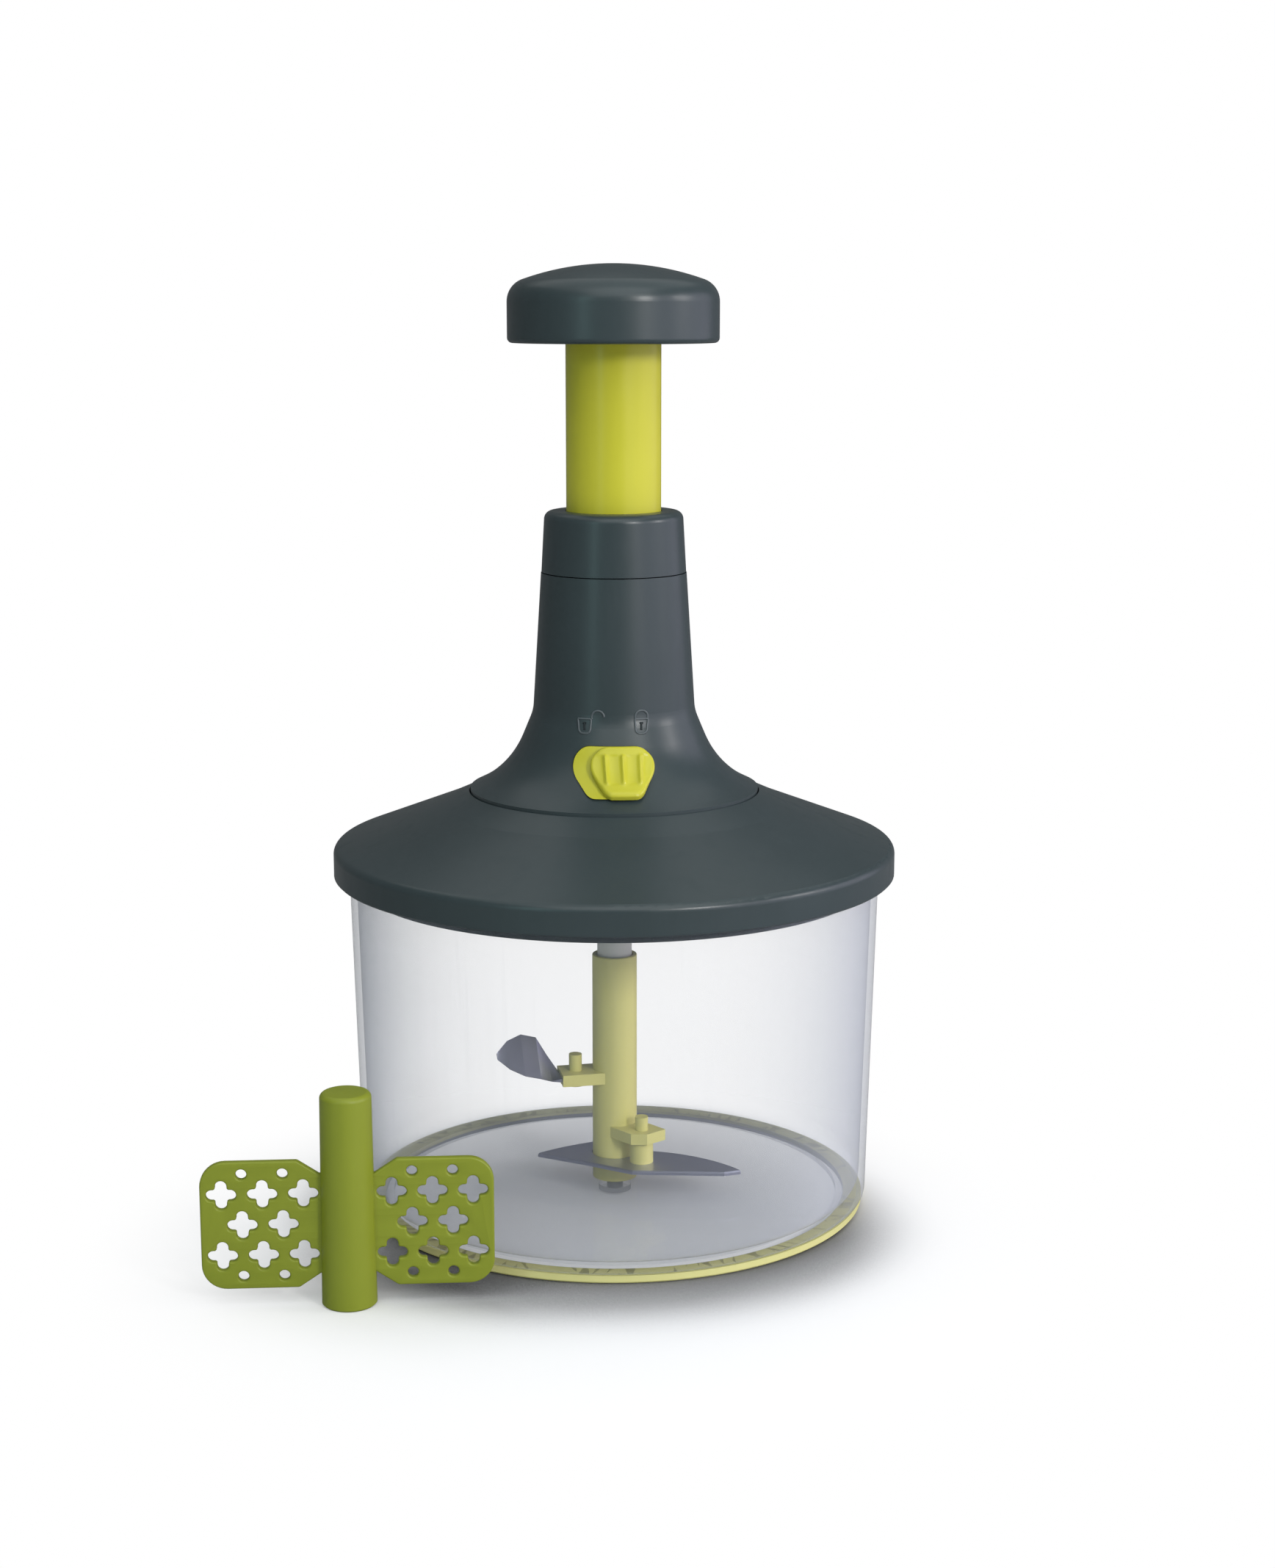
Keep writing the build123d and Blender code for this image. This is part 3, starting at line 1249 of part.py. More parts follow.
# Paddle: a tapered hub with a socket, two pierced wings, standing on its open end
paddle_place = around(PADDLE_DIRECTION, bowl_rim_r + PADDLE_AWAY)
paddle_front = front_plane(PADDLE_TURN, 0, paddle_place)
wing_middle_z = PADDLE_WING_LOW + PADDLE_WING_H / 2
with BuildSketch(Plane.XY) as cross:
    for reach_x, reach_y in ((1, 0), (0, 1)):
        with Locations(
            (CROSS_LOBE_OUT * reach_x, CROSS_LOBE_OUT * reach_y),
            (-CROSS_LOBE_OUT * reach_x, -CROSS_LOBE_OUT * reach_y),
        ):
            Circle(CROSS_LOBE_R)
        Rectangle(
            CROSS_BAR_W + (2 * CROSS_LOBE_OUT - CROSS_BAR_W) * reach_x,
            CROSS_BAR_W + (2 * CROSS_LOBE_OUT - CROSS_BAR_W) * reach_y,
        )
with BuildPart() as paddle:
    with BuildSketch(paddle_front) as wings:
        with BuildLine():
            Polyline(
                (0, PADDLE_WING_LOW + PADDLE_CHAMFER_DOWN),
                (PADDLE_HUB_R, PADDLE_WING_LOW + PADDLE_CHAMFER_DOWN),
                (PADDLE_HUB_R + PADDLE_CHAMFER_OUT, PADDLE_WING_LOW),
                (PADDLE_WING_REACH, PADDLE_WING_LOW),
                (PADDLE_WING_REACH, PADDLE_WING_LOW + PADDLE_WING_H),
                (PADDLE_HUB_R + PADDLE_CHAMFER_OUT, PADDLE_WING_LOW + PADDLE_WING_H),
                (PADDLE_HUB_R, PADDLE_WING_LOW + PADDLE_WING_H - PADDLE_CHAMFER_DOWN),
                (0, PADDLE_WING_LOW + PADDLE_WING_H - PADDLE_CHAMFER_DOWN),
                close=True,
            )
        make_face()
        fillet(wings.vertices().group_by(Axis.X)[-1], PADDLE_CORNER_R)
        mirror(about=Plane.YZ)
        for side in (-1, 1):
            for row in (-1, 1):
                for column in range(3):
                    with Locations(
                        (
                            side * (CROSS_FIRST_X + CROSS_PITCH_X * column),
                            wing_middle_z + row * CROSS_PITCH_Z,
                        )
                    ):
                        add(cross.sketch, mode=Mode.SUBTRACT)
            for column in range(2):
                middle_x = side * (CROSS_FIRST_X + CROSS_PITCH_X * (column + 0.5))
                with Locations((middle_x, wing_middle_z)):
                    add(cross.sketch, mode=Mode.SUBTRACT)
                with Locations(
                    (middle_x, wing_middle_z + SMALL_HOLE_Z),
                    (middle_x, wing_middle_z - SMALL_HOLE_Z),
                ):
                    Circle(SMALL_HOLE_R, mode=Mode.SUBTRACT)
    extrude(amount=PADDLE_WING_T / 2, both=True)
    with BuildSketch(paddle_front) as hub:
        with BuildLine():
            Polyline(
                (0, 0),
                (PADDLE_HUB_R, 0),
                (PADDLE_HUB_TOP_R, PADDLE_HUB_H),
                (0, PADDLE_HUB_H),
                close=True,
            )
        make_face()
        fillet(
            hub.vertices().sort_by_distance((PADDLE_HUB_TOP_R, PADDLE_HUB_H))[0],
            PADDLE_HUB_ROUND,
        )
    revolve(axis=Axis(paddle_place, (0, 0, 1)))
    with BuildSketch(Plane(origin=paddle_place)):
        Circle(stem_bore_r)
    extrude(amount=PADDLE_HUB_H - PADDLE_CAP_T, mode=Mode.SUBTRACT)
finish(paddle, "paddle")
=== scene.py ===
import json
from bisect import bisect_left
from math import asin, atan2, cos, degrees, exp, hypot, pi, radians, sin, sqrt, tan

import bmesh
import bpy
from mathutils import Matrix, Vector


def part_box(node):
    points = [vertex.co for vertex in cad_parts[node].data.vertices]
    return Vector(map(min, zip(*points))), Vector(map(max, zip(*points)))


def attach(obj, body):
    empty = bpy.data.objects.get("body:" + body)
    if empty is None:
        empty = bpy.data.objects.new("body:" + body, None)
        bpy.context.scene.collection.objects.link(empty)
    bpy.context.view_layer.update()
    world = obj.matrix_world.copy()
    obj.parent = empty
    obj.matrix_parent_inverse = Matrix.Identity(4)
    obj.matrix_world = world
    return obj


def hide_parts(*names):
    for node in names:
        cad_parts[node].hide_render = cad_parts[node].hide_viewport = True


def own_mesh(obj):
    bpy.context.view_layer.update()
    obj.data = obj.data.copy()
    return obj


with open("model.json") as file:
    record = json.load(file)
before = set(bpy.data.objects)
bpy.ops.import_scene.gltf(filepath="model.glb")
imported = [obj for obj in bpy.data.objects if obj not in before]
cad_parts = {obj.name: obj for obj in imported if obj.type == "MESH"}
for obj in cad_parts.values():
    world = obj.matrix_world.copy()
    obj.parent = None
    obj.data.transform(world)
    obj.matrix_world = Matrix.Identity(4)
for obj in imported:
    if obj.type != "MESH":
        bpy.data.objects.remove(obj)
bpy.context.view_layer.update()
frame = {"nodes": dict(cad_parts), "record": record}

# Lengths are in millimetres up to the point where a mesh is made, and metres from there on
MM = 0.001

# Camera: the photograph's own height, distance and pitch
CAMERA_PLACE = (7.07, -743.9, 272.4)
CAMERA_PITCH = 10.89
CAMERA_LENS = 57.33
CAMERA_SENSOR = 36.0

# Neck surface: radius and height at the corners of its outline, and the rounds between them
NECK_LINE = [(21.75, 193.8), (24.35, 152.3), (31.7, 134.6), (43.5, 128.9)]
NECK_ROUNDS = [12.0, 29.0]

# Slider on the neck
SLIDER_ANGLE = 5.0
SLIDER_LOW = 131.3
SLIDER_WIDE = 139.9
SLIDER_HIGH = 145.2
SLIDER_WIDE_W = 20.8
SLIDER_TOP_W = 10.6
SLIDER_BOTTOM_W = 10.2
SLIDER_BOTTOM_R = 3.2
SLIDER_SIDE_R = 5.6
SLIDER_TOP_R = 4.5
SLIDER_BASE = 0.9
SLIDER_FACE = 2.9
SLIDER_RIM = 1.1
RING_CROWDING = 1.4
RIDGE_PITCH = 4.65
RIDGE_HEIGHT = 0.75
RIDGE_WIDTH = 0.6
RIDGE_REACH = 4.1
RIDGE_END_SLOPE = 5.0
RIDGE_HOLLOW = 0.22
HOLLOW_END = 1.4
HOLLOW_END_WIDTH = 0.3

# Padlock signs above the slider
SIGN_PROUD = 0.3
SIGN_LINE = 0.32
SIGN_BODY_W = 3.9
SIGN_TAPER = 0.8
SIGN_LOW = 149.0
SIGN_BODY_TOP = 153.1
SIGN_TOP = 155.6
SIGN_FOOT_R = 1.2
SIGN_SHOULDER_R = 0.3
SHACKLE_INSET = 0.15
KEYHOLE_LOW = 150.0
KEYHOLE_HIGH = 151.9
KEYHOLE_HALF_W = 0.45
CLOSED_X = 8.2
OPEN_X = -8.4

# Paddle
PADDLE_PLACE = (-72.79, -89.99)
PADDLE_TURN = 4.0
HUB_R = 7.65
HUB_TOP_R = 7.1
HUB_HEIGHT = 61.0
HUB_ROUND = 1.6
HUB_CAP = 3.0
HUB_BORE_R = 5.9
HUB_FOOT_BEVEL = 0.5
WING_REACH = 40.3
WING_LOW = 5.2
WING_HEIGHT = 36.6
WING_THICK = 2.4
WING_CORNER = 7.0
WING_CUT_OUT = 6.0
WING_CUT_DOWN = 4.0
WING_CUT_R = 1.5
WING_EDGE = 0.55
CROSS_FIRST = 12.1
CROSS_PITCH_X = 11.2
CROSS_PITCH_Z = 8.8
CROSS_LOBE_R = 1.6
CROSS_LOBE_OUT = 2.55
CROSS_NOOK_R = 0.6
SMALL_HOLE_R = 1.5
SMALL_HOLE_Z = 14.7
SMALL_HOLE_SIDES = 24

# Return spring
SPRING_WIRE_R = 0.65
SPRING_TURNS = 14
SPRING_STEPS = 32

# Studio: a round pale floor that rises into a wall on all sides
FLOOR_R = 1700.0
WALL_BEND = 700.0
WALL_TOP = 3200.0

# Point that the lights face, in metres
LIGHT_AIM = (0.0, 0.0, 0.14)

# Studio paper, in metres: the soft shadow, and the deeper painted shade at the front of the bowl's foot
SHADOW_MIDDLE = (-0.01, -0.045, 0.0)
SHADOW_FADE = (0.05, 0.15)
SHADOW_WHITE = 0.1
FOOT_SHADE_REACH = 0.05
FOOT_SHADE_FRONT = (0.075, 0.12)
FOOT_SHADE_EDGE = 0.003
FOOT_SHADE_FADE = (0.012, 0.045)
FOOT_SHADE_DROP = 0.8

# Studio paper in reflections: its share of white, how much darker it is, and how much lighter it is seen
WHITE_IN_GLOSS = 0.06
DARKER_IN_GLOSS = 0.6
LIGHTER_SEEN = 0.75


# Shader maths
class Wire:
    """A socket of a node tree that can be added, multiplied and so on like a number."""

    def __init__(self, finish, socket):
        self.finish = finish
        self.socket = socket

    def maths(self, operation, *terms):
        """A Math node of wires and numbers."""
        values = {i: term for i, term in enumerate(terms)}
        return self.finish.node("Math", {"operation": operation}, values)

    def __add__(self, other):
        return self.maths("ADD", self, other)

    def __radd__(self, other):
        return self.maths("ADD", other, self)

    def __sub__(self, other):
        return self.maths("SUBTRACT", self, other)

    def __rsub__(self, other):
        return self.maths("SUBTRACT", other, self)

    def __mul__(self, other):
        return self.maths("MULTIPLY", self, other)

    def __rmul__(self, other):
        return self.maths("MULTIPLY", other, self)

    def __pow__(self, other):
        return self.maths("POWER", self, other)

    def clamped(self, low=0.0, high=1.0):
        """The same value, kept between two numbers."""
        return self.maths("MINIMUM", self.maths("MAXIMUM", self, low), high)


class Finish:
    """The node tree of a material or of the world."""

    def __init__(self, owner):
        self.owner = owner
        owner.use_nodes = True
        self.tree = owner.node_tree
        self.tree.nodes.clear()

    def node(self, kind, settings=None, values=None, output=0):
        """Adds a node with its settings, then its sockets' values or links, and gives an output."""
        made = self.tree.nodes.new("ShaderNode" + kind)
        for key, value in (settings or {}).items():
            setattr(made, key, value)
        for key, value in (values or {}).items():
            if isinstance(value, Wire):
                self.tree.links.new(value.socket, made.inputs[key])
            else:
                made.inputs[key].default_value = value
        return Wire(self, made.outputs[output]) if made.outputs else None

    def place(self):
        """Coordinates in metres that stay with the piece."""
        return self.node("TexCoord", output="Object")

    def stretched(self, place, scale):
        """The same coordinates multiplied by a vector."""
        return self.node("VectorMath", {"operation": "MULTIPLY"}, {0: place, 1: scale})

    def distance(self, place, other):
        """How far a place is from another, in metres."""
        return self.node("VectorMath", {"operation": "DISTANCE"}, {0: place, 1: other}, output=1)

    def noise(self, place, scale, detail=3.0, roughness=0.5):
        """Cloudy noise between 0 and 1, its scale the number of clouds in a metre."""
        values = {"Vector": place, "Scale": scale, "Detail": detail, "Roughness": roughness}
        return self.node("TexNoise", {}, values)

    def tint(self, factor, low, high):
        """A colour between two colours."""
        return self.node("Mix", {"data_type": "RGBA"}, {0: factor, 6: low, 7: high}, output=2)

    def step(self, value, low, high):
        """0 below low, 1 above high, and smooth between them."""
        settings = {"interpolation_type": "SMOOTHSTEP"}
        values = {"Value": value, "From Min": low, "From Max": high}
        return self.node("MapRange", settings, values)

    def bump(self, height, depth, strength=1.0):
        """Surface relief with a depth in metres."""
        values = {"Height": height, "Distance": depth, "Strength": strength}
        return self.node("Bump", {}, values)

    def surface(self, **values):
        """The shader of a solid piece, by the names of its sockets."""
        named = {key.replace("_", " "): value for key, value in values.items()}
        shader = self.node("BsdfPrincipled", {}, named)
        self.node("OutputMaterial", {}, {"Surface": shader})
        return self.owner


def srgb(red, green, blue):
    """A colour given as 0 to 255 on screen."""
    parts = [c / 255 for c in (red, green, blue)]
    linear = [c / 12.92 if c <= 0.04045 else ((c + 0.055) / 1.055) ** 2.4 for c in parts]
    return (*linear, 1.0)


def material(name):
    """A new material with an empty node tree."""
    return Finish(bpy.data.materials.new(name))


def moulded_plastic(name, low, high, roughness, gloss=0.5, grain=0.000012, draw=0.0):
    """Satin moulded plastic: two close tones, a fine spark grain and faint flow marks."""
    f = material(name)
    place = f.place()
    cloud = f.noise(place, 38.0, 2.0)
    flow = f.noise(f.stretched(place, (1.0, 1.0, 0.12)), 420.0, 2.0)
    spark = f.noise(place, 2600.0, 2.0, 0.6)
    mask = (cloud * 0.7 + flow * 0.3).clamped()
    scuff = f.step(f.noise(f.stretched(place, (1.0, 1.0, 0.3)), 150.0, 4.0), 0.52, 0.72)
    dull = roughness + (cloud - 0.5) * 0.10 + (flow - 0.5) * draw + scuff * 0.05
    return f.surface(
        Base_Color=f.tint(mask, low, high),
        Roughness=dull.clamped(0.05, 0.95),
        IOR=1.5,
        Specular_IOR_Level=gloss,
        Normal=f.bump(spark + flow * 0.4, grain, 0.5),
    )


def clear_plastic():
    """Clear plastic, thin to look through and denser towards its rims, with faint wiped streaks."""
    f = material("clear_bowl_plastic")
    place = f.place()
    wave = f.noise(f.stretched(place, (1.0, 1.0, 0.35)), 26.0, 1.0)
    streak = f.step(f.noise(f.stretched(place, (1.0, 1.0, 0.03)), 240.0, 2.0, 0.7), 0.60, 0.78)
    rim = f.node("LayerWeight", {}, {"Blend": 0.5}, output=1)
    density = 0.045 + streak * 0.02 + rim ** 1.9 * 0.52
    return f.surface(
        Base_Color=f.tint(wave, srgb(200, 206, 219), srgb(210, 215, 226)),
        Roughness=0.06 + streak * 0.08,
        IOR=1.49,
        Alpha=density.clamped(),
        Normal=f.bump(wave + streak * 0.02, 0.0004, 0.3),
    )


def steel(name, low, high, roughness, along, grit=900.0):
    """Stainless steel with a grain that is finest along the largest of three scales."""
    f = material(name)
    place = f.place()
    brushed = f.noise(f.stretched(place, along), grit, 3.0, 0.65)
    cloud = f.noise(place, 60.0, 2.0)
    return f.surface(
        Base_Color=f.tint((brushed * 0.6 + cloud * 0.4).clamped(), low, high),
        Metallic=1.0,
        Roughness=(roughness + (brushed - 0.5) * 0.18).clamped(0.08, 0.9),
        Normal=f.bump(brushed, 0.000015, 0.6),
    )


def soft_rubber(name, low, high, roughness):
    """Soft moulded ring with a dull, slightly mottled skin."""
    f = material(name)
    place = f.place()
    mottle = f.noise(place, 90.0, 3.0)
    pores = f.noise(place, 1900.0, 2.0)
    return f.surface(
        Base_Color=f.tint(mottle, low, high),
        Roughness=(roughness + (mottle - 0.5) * 0.12).clamped(),
        Normal=f.bump(pores + mottle, 0.00002, 0.5),
    )


dark_plastic = moulded_plastic("slate_plastic", srgb(49, 60, 62), srgb(56, 67, 70), 0.33, 0.45)
# Padlock sign lines: the neck's plastic made lighter, a painted highlight for the light the raised lines
# catch
sign_plastic_painted_highlight = moulded_plastic("sign_plastic_painted_highlight", srgb(76, 84, 87), srgb(84, 92, 96), 0.40, 0.45)
# Keyholes: darker than the neck's plastic, standing in for the shade in them: painted shade
keyhole_painted_shade = moulded_plastic("keyhole_painted_shade", srgb(34, 41, 43), srgb(40, 48, 50), 0.50, 0.2)
lime_plastic = moulded_plastic("lime_plastic", srgb(190, 188, 50), srgb(200, 196, 60), 0.30, 0.34, draw=0.06)
# Stem and pins: their own pale lime, made lighter still to make up for the lid's shade inside the bowl:
# partly painted light
stem_plastic_with_painted_light = moulded_plastic("pale_lime_plastic", srgb(220, 214, 126), srgb(228, 222, 138), 0.38)
olive_plastic = moulded_plastic("olive_plastic", srgb(128, 139, 38), srgb(140, 150, 46), 0.40, 0.35)
pale_plastic = moulded_plastic("natural_plastic", srgb(216, 216, 208), srgb(228, 227, 220), 0.45)
bowl_plastic = clear_plastic()
plain_steel = steel("turned_steel", srgb(176, 177, 180), srgb(206, 206, 208), 0.30, (1.0, 1.0, 6.0))
blade_steel = steel("ground_blade_steel", srgb(176, 178, 200), srgb(202, 204, 224), 0.42, (1.0, 7.0, 1.0))
ring_rubber = soft_rubber("lime_rubber", srgb(212, 208, 136), srgb(221, 217, 150), 0.6)
seal_rubber = soft_rubber("seal_rubber", srgb(186, 190, 194), srgb(200, 203, 206), 0.5)

finishes = {
    "clear_plastic": bowl_plastic,
    "dark_plastic": dark_plastic,
    "lime_plastic": lime_plastic,
    "lime_rubber": ring_rubber,
    "olive_plastic": olive_plastic,
    "pale_plastic": pale_plastic,
    "grey_rubber": seal_rubber,
    "steel": plain_steel,
    "blade_steel": blade_steel,
}
for row in frame["record"]["subparts"]:
    node = frame["nodes"][row["node"]]
    node.data.materials.clear()
    node.data.materials.append(finishes[row["material_slot"]])
# The stem and its pins take the pale lime that is partly painted light
for name in ("blade_stem", "blade_pins"):
    frame["nodes"][name].data.materials[0] = stem_plastic_with_painted_light


# Pieces
def new_piece(name, data, body, finish):
    """Links a mesh as a piece that rides on a body."""
    piece = bpy.data.objects.new(name, data)
    bpy.context.scene.collection.objects.link(piece)
    data.materials.clear()
    data.materials.append(finish)
    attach(piece, body)
    return piece


def smoothed(mesh, angle):
    """The mesh with smooth shading, and edges sharper than an angle in degrees kept crisp."""
    mesh.shade_smooth()
    mesh.set_sharp_from_angle(angle=radians(angle))
    return mesh


def merged(mesh, reach):
    """A mesh whose points closer than a reach in metres are joined, with its faces turned outwards."""
    work = bmesh.new()
    work.from_mesh(mesh)
    bmesh.ops.remove_doubles(work, verts=work.verts, dist=reach)
    bmesh.ops.recalc_face_normals(work, faces=work.faces)
    work.to_mesh(mesh)
    work.free()
    return mesh


def mesh_from(name, points, faces):
    """A mesh from points in millimetres."""
    mesh = bpy.data.meshes.new(name)
    mesh.from_pydata([Vector(p) * MM for p in points], [], faces)
    return merged(mesh, 0.000001)


def arc(centre, radius, start, end, steps):
    """Points of an arc, angles in degrees."""
    angles = [radians(start + (end - start) * i / steps) for i in range(steps + 1)]
    return [(centre[0] + radius * cos(a), centre[1] + radius * sin(a)) for a in angles]


def rounded(corners, radii, steps, closed=True):
    """An outline whose corners are rounded by arcs of the given radii."""
    out = []
    count = len(corners)
    for i, corner in enumerate(corners):
        here = Vector(corner)
        if not closed and i in (0, count - 1) or radii[i] == 0:
            out.append(tuple(here))
            continue
        back = (Vector(corners[i - 1]) - here).normalized()
        ahead = (Vector(corners[(i + 1) % count]) - here).normalized()
        half = back.angle(ahead) / 2
        reach = radii[i] / tan(half)
        centre = here + (back + ahead).normalized() * (radii[i] / sin(half))
        first = here + back * reach - centre
        last = here + ahead * reach - centre
        start = atan2(first.y, first.x)
        sweep = (atan2(last.y, last.x) - start + pi) % (2 * pi) - pi
        out += arc(centre, radii[i], degrees(start), degrees(start + sweep), steps)
    return out


neck_samples = rounded(NECK_LINE, [0, *NECK_ROUNDS, 0], 40, closed=False)[::-1]
neck_heights = [z for r, z in neck_samples]


def neck_at(z):
    """The neck's radius at a height, and the two parts of its outward normal there."""
    i = min(max(bisect_left(neck_heights, z), 1), len(neck_samples) - 1)
    (r0, z0), (r1, z1) = neck_samples[i - 1], neck_samples[i]
    share = (z - z0) / (z1 - z0)
    length = hypot(r1 - r0, z1 - z0)
    return r0 + (r1 - r0) * share, (z1 - z0) / length, (r0 - r1) / length


def on_neck(x, z, proud, angle=0.0):
    """The point that stands proud of the neck in front, x to the right of a given angle."""
    r, out, up = neck_at(z)
    turn = asin(x / r) + radians(angle)
    reach = r + proud * out
    return (reach * sin(turn), -reach * cos(turn), z + proud * up)


def slider_outline():
    """The slider's outline seen from the front."""
    half = [
        (SLIDER_BOTTOM_W / 2, SLIDER_LOW, SLIDER_BOTTOM_R),
        (SLIDER_WIDE_W / 2, SLIDER_WIDE, SLIDER_SIDE_R),
        (SLIDER_TOP_W / 2, SLIDER_HIGH, SLIDER_TOP_R),
    ]
    corners = [(x, z) for x, z, r in half] + [(-x, z) for x, z, r in half[::-1]]
    radii = [r for x, z, r in half] + [r for x, z, r in half[::-1]]
    return rounded(corners, radii, 12)


def even_points(line, count):
    """Evenly spaced points along a closed outline."""
    loop = line + [line[0]]
    lengths = [0.0]
    for (x0, z0), (x1, z1) in zip(loop, loop[1:]):
        lengths.append(lengths[-1] + hypot(x1 - x0, z1 - z0))
    out = []
    for i in range(count):
        want = lengths[-1] * i / count
        j = min(max(bisect_left(lengths, want), 1), len(loop) - 1)
        share = (want - lengths[j - 1]) / (lengths[j] - lengths[j - 1])
        (x0, z0), (x1, z1) = loop[j - 1], loop[j]
        out.append((x0 + (x1 - x0) * share, z0 + (z1 - z0) * share))
    return out


def pad(name, outline, base, face, rim, angle, relief, count=280, rings=64):
    """A plate that follows the neck, with a rounded rim and a relief given by place.

    It is made of rings that shrink to the middle and lie closer together near the rim.
    """
    line = even_points(outline, count)
    middle = Vector((sum(x for x, z in line) / count, sum(z for x, z in line) / count))
    points = [on_neck(x, z, base, angle) for x, z in line]
    faces = [list(range(count))]
    for ring in range(rings):
        inwards = (ring / rings) ** RING_CROWDING
        for x, z in line:
            spot = Vector((x, z)).lerp(middle, inwards)
            depth = hypot(x - spot.x, z - spot.y)
            fall = rim - sqrt(max(0.0, rim**2 - max(0.0, rim - depth) ** 2))
            rise = relief(spot.x, spot.y) * min(1.0, depth / rim)
            points.append(on_neck(spot.x, spot.y, face - fall + rise, angle))
        low = ring * count
        for i in range(count):
            j = (i + 1) % count
            faces.append([low + i, low + j, low + count + j, low + count + i])
    points.append(on_neck(middle.x, middle.y, face + relief(*middle), angle))
    last = rings * count
    for i in range(count):
        faces.append([last + i, last + (i + 1) % count, len(points) - 1])
    return smoothed(mesh_from(name, points, faces), 50)


def ridges(x, z):
    """Three upright ridges with shallow hollows between them."""
    middle_z = (SLIDER_LOW + SLIDER_HIGH) / 2
    fade = 1 / (1 + exp((abs(z - middle_z) - RIDGE_REACH) * RIDGE_END_SLOPE))
    across = x / RIDGE_PITCH
    crest = sum(exp(-(((x - i * RIDGE_PITCH) / RIDGE_WIDTH) ** 2)) for i in (-1, 0, 1))
    if abs(across) < 1:
        hollow = sin(pi * across) ** 2
    else:
        hollow = exp(-(((abs(across) - HOLLOW_END) / HOLLOW_END_WIDTH) ** 2))
    return fade * (RIDGE_HEIGHT * crest - RIDGE_HOLLOW * hollow)


slider_mesh = pad(
    "slider_button", slider_outline(), SLIDER_BASE, SLIDER_FACE, SLIDER_RIM, SLIDER_ANGLE, ridges
)
slider_button = new_piece("slider_button", slider_mesh, "lock", lime_plastic)
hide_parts("lock_button")


def turned(name, profile, steps, centre):
    """A mesh of a profile turned about an upright axis."""
    points = []
    faces = []
    for i in range(steps):
        a = 2 * pi * i / steps
        points += [(centre[0] + r * cos(a), centre[1] + r * sin(a), z) for r, z in profile]
    count = len(profile)
    for i in range(steps):
        j = (i + 1) % steps
        for k in range(count - 1):
            faces.append([i * count + k, j * count + k, j * count + k + 1, i * count + k + 1])
    return mesh_from(name, points, faces)


# Paddle hub: tapered, rounded over the top, with its socket below
hub_rim = rounded(
    [(HUB_R, 0.0), (HUB_TOP_R, HUB_HEIGHT), (0.0, HUB_HEIGHT)], [0, HUB_ROUND, 0], 10, closed=False
)
hub_profile = [
    (0.0, HUB_HEIGHT - HUB_CAP),
    (HUB_BORE_R, HUB_HEIGHT - HUB_CAP),
    (HUB_BORE_R, 0.0),
    (HUB_R - HUB_FOOT_BEVEL, 0.0),
    (HUB_R, HUB_FOOT_BEVEL),
    *hub_rim[1:-1],
    (0.0, HUB_HEIGHT),
]
hub_mesh = turned("paddle_hub", hub_profile, 96, PADDLE_PLACE)
paddle_hub = new_piece("paddle_hub", smoothed(hub_mesh, 40), "paddle", olive_plastic)
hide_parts("paddle")


def cross_outline(centre):
    """A plus-shaped hole with round lobes and softened nooks."""
    line = []
    for quarter in range(4):
        lobe = [Vector(p) for p in arc((CROSS_LOBE_OUT, 0.0), CROSS_LOBE_R, -90, 90, 10)]
        nook = CROSS_LOBE_R + CROSS_NOOK_R
        lobe += [Vector(p) for p in arc((nook, nook), CROSS_NOOK_R, 270, 180, 4)]
        turn = Matrix.Rotation(radians(90 * quarter), 2)
        line += [tuple(Vector(centre) + turn @ p) for p in lobe]
    return line


def add_line(curve, points, closed):
    """Adds a line with straight runs through points in metres to a curve."""
    spline = curve.splines.new("POLY")
    spline.points.add(len(points) - 1)
    for point, (x, y, z) in zip(spline.points, points):
        point.co = (x, y, z, 1.0)
    spline.use_cyclic_u = closed


def mesh_of(curve):
    """The mesh of a curve, which goes away."""
    holder = bpy.data.objects.new(curve.name, curve)
    mesh = bpy.data.meshes.new_from_object(holder)
    bpy.data.objects.remove(holder)
    bpy.data.curves.remove(curve)
    return mesh


def plate_mesh(name, outlines, thickness, edge):
    """A flat plate with holes and rounded edges that lies in the XY plane."""
    curve = bpy.data.curves.new(name, "CURVE")
    curve.dimensions = "2D"
    curve.fill_mode = "BOTH"
    curve.extrude = (thickness / 2 - edge) * MM
    curve.bevel_depth = edge * MM
    curve.bevel_resolution = 3
    curve.offset = -edge * MM
    for outline in outlines:
        add_line(curve, [(x * MM, y * MM, 0.0) for x, y in outline], True)
    return merged(mesh_of(curve), 0.000002)


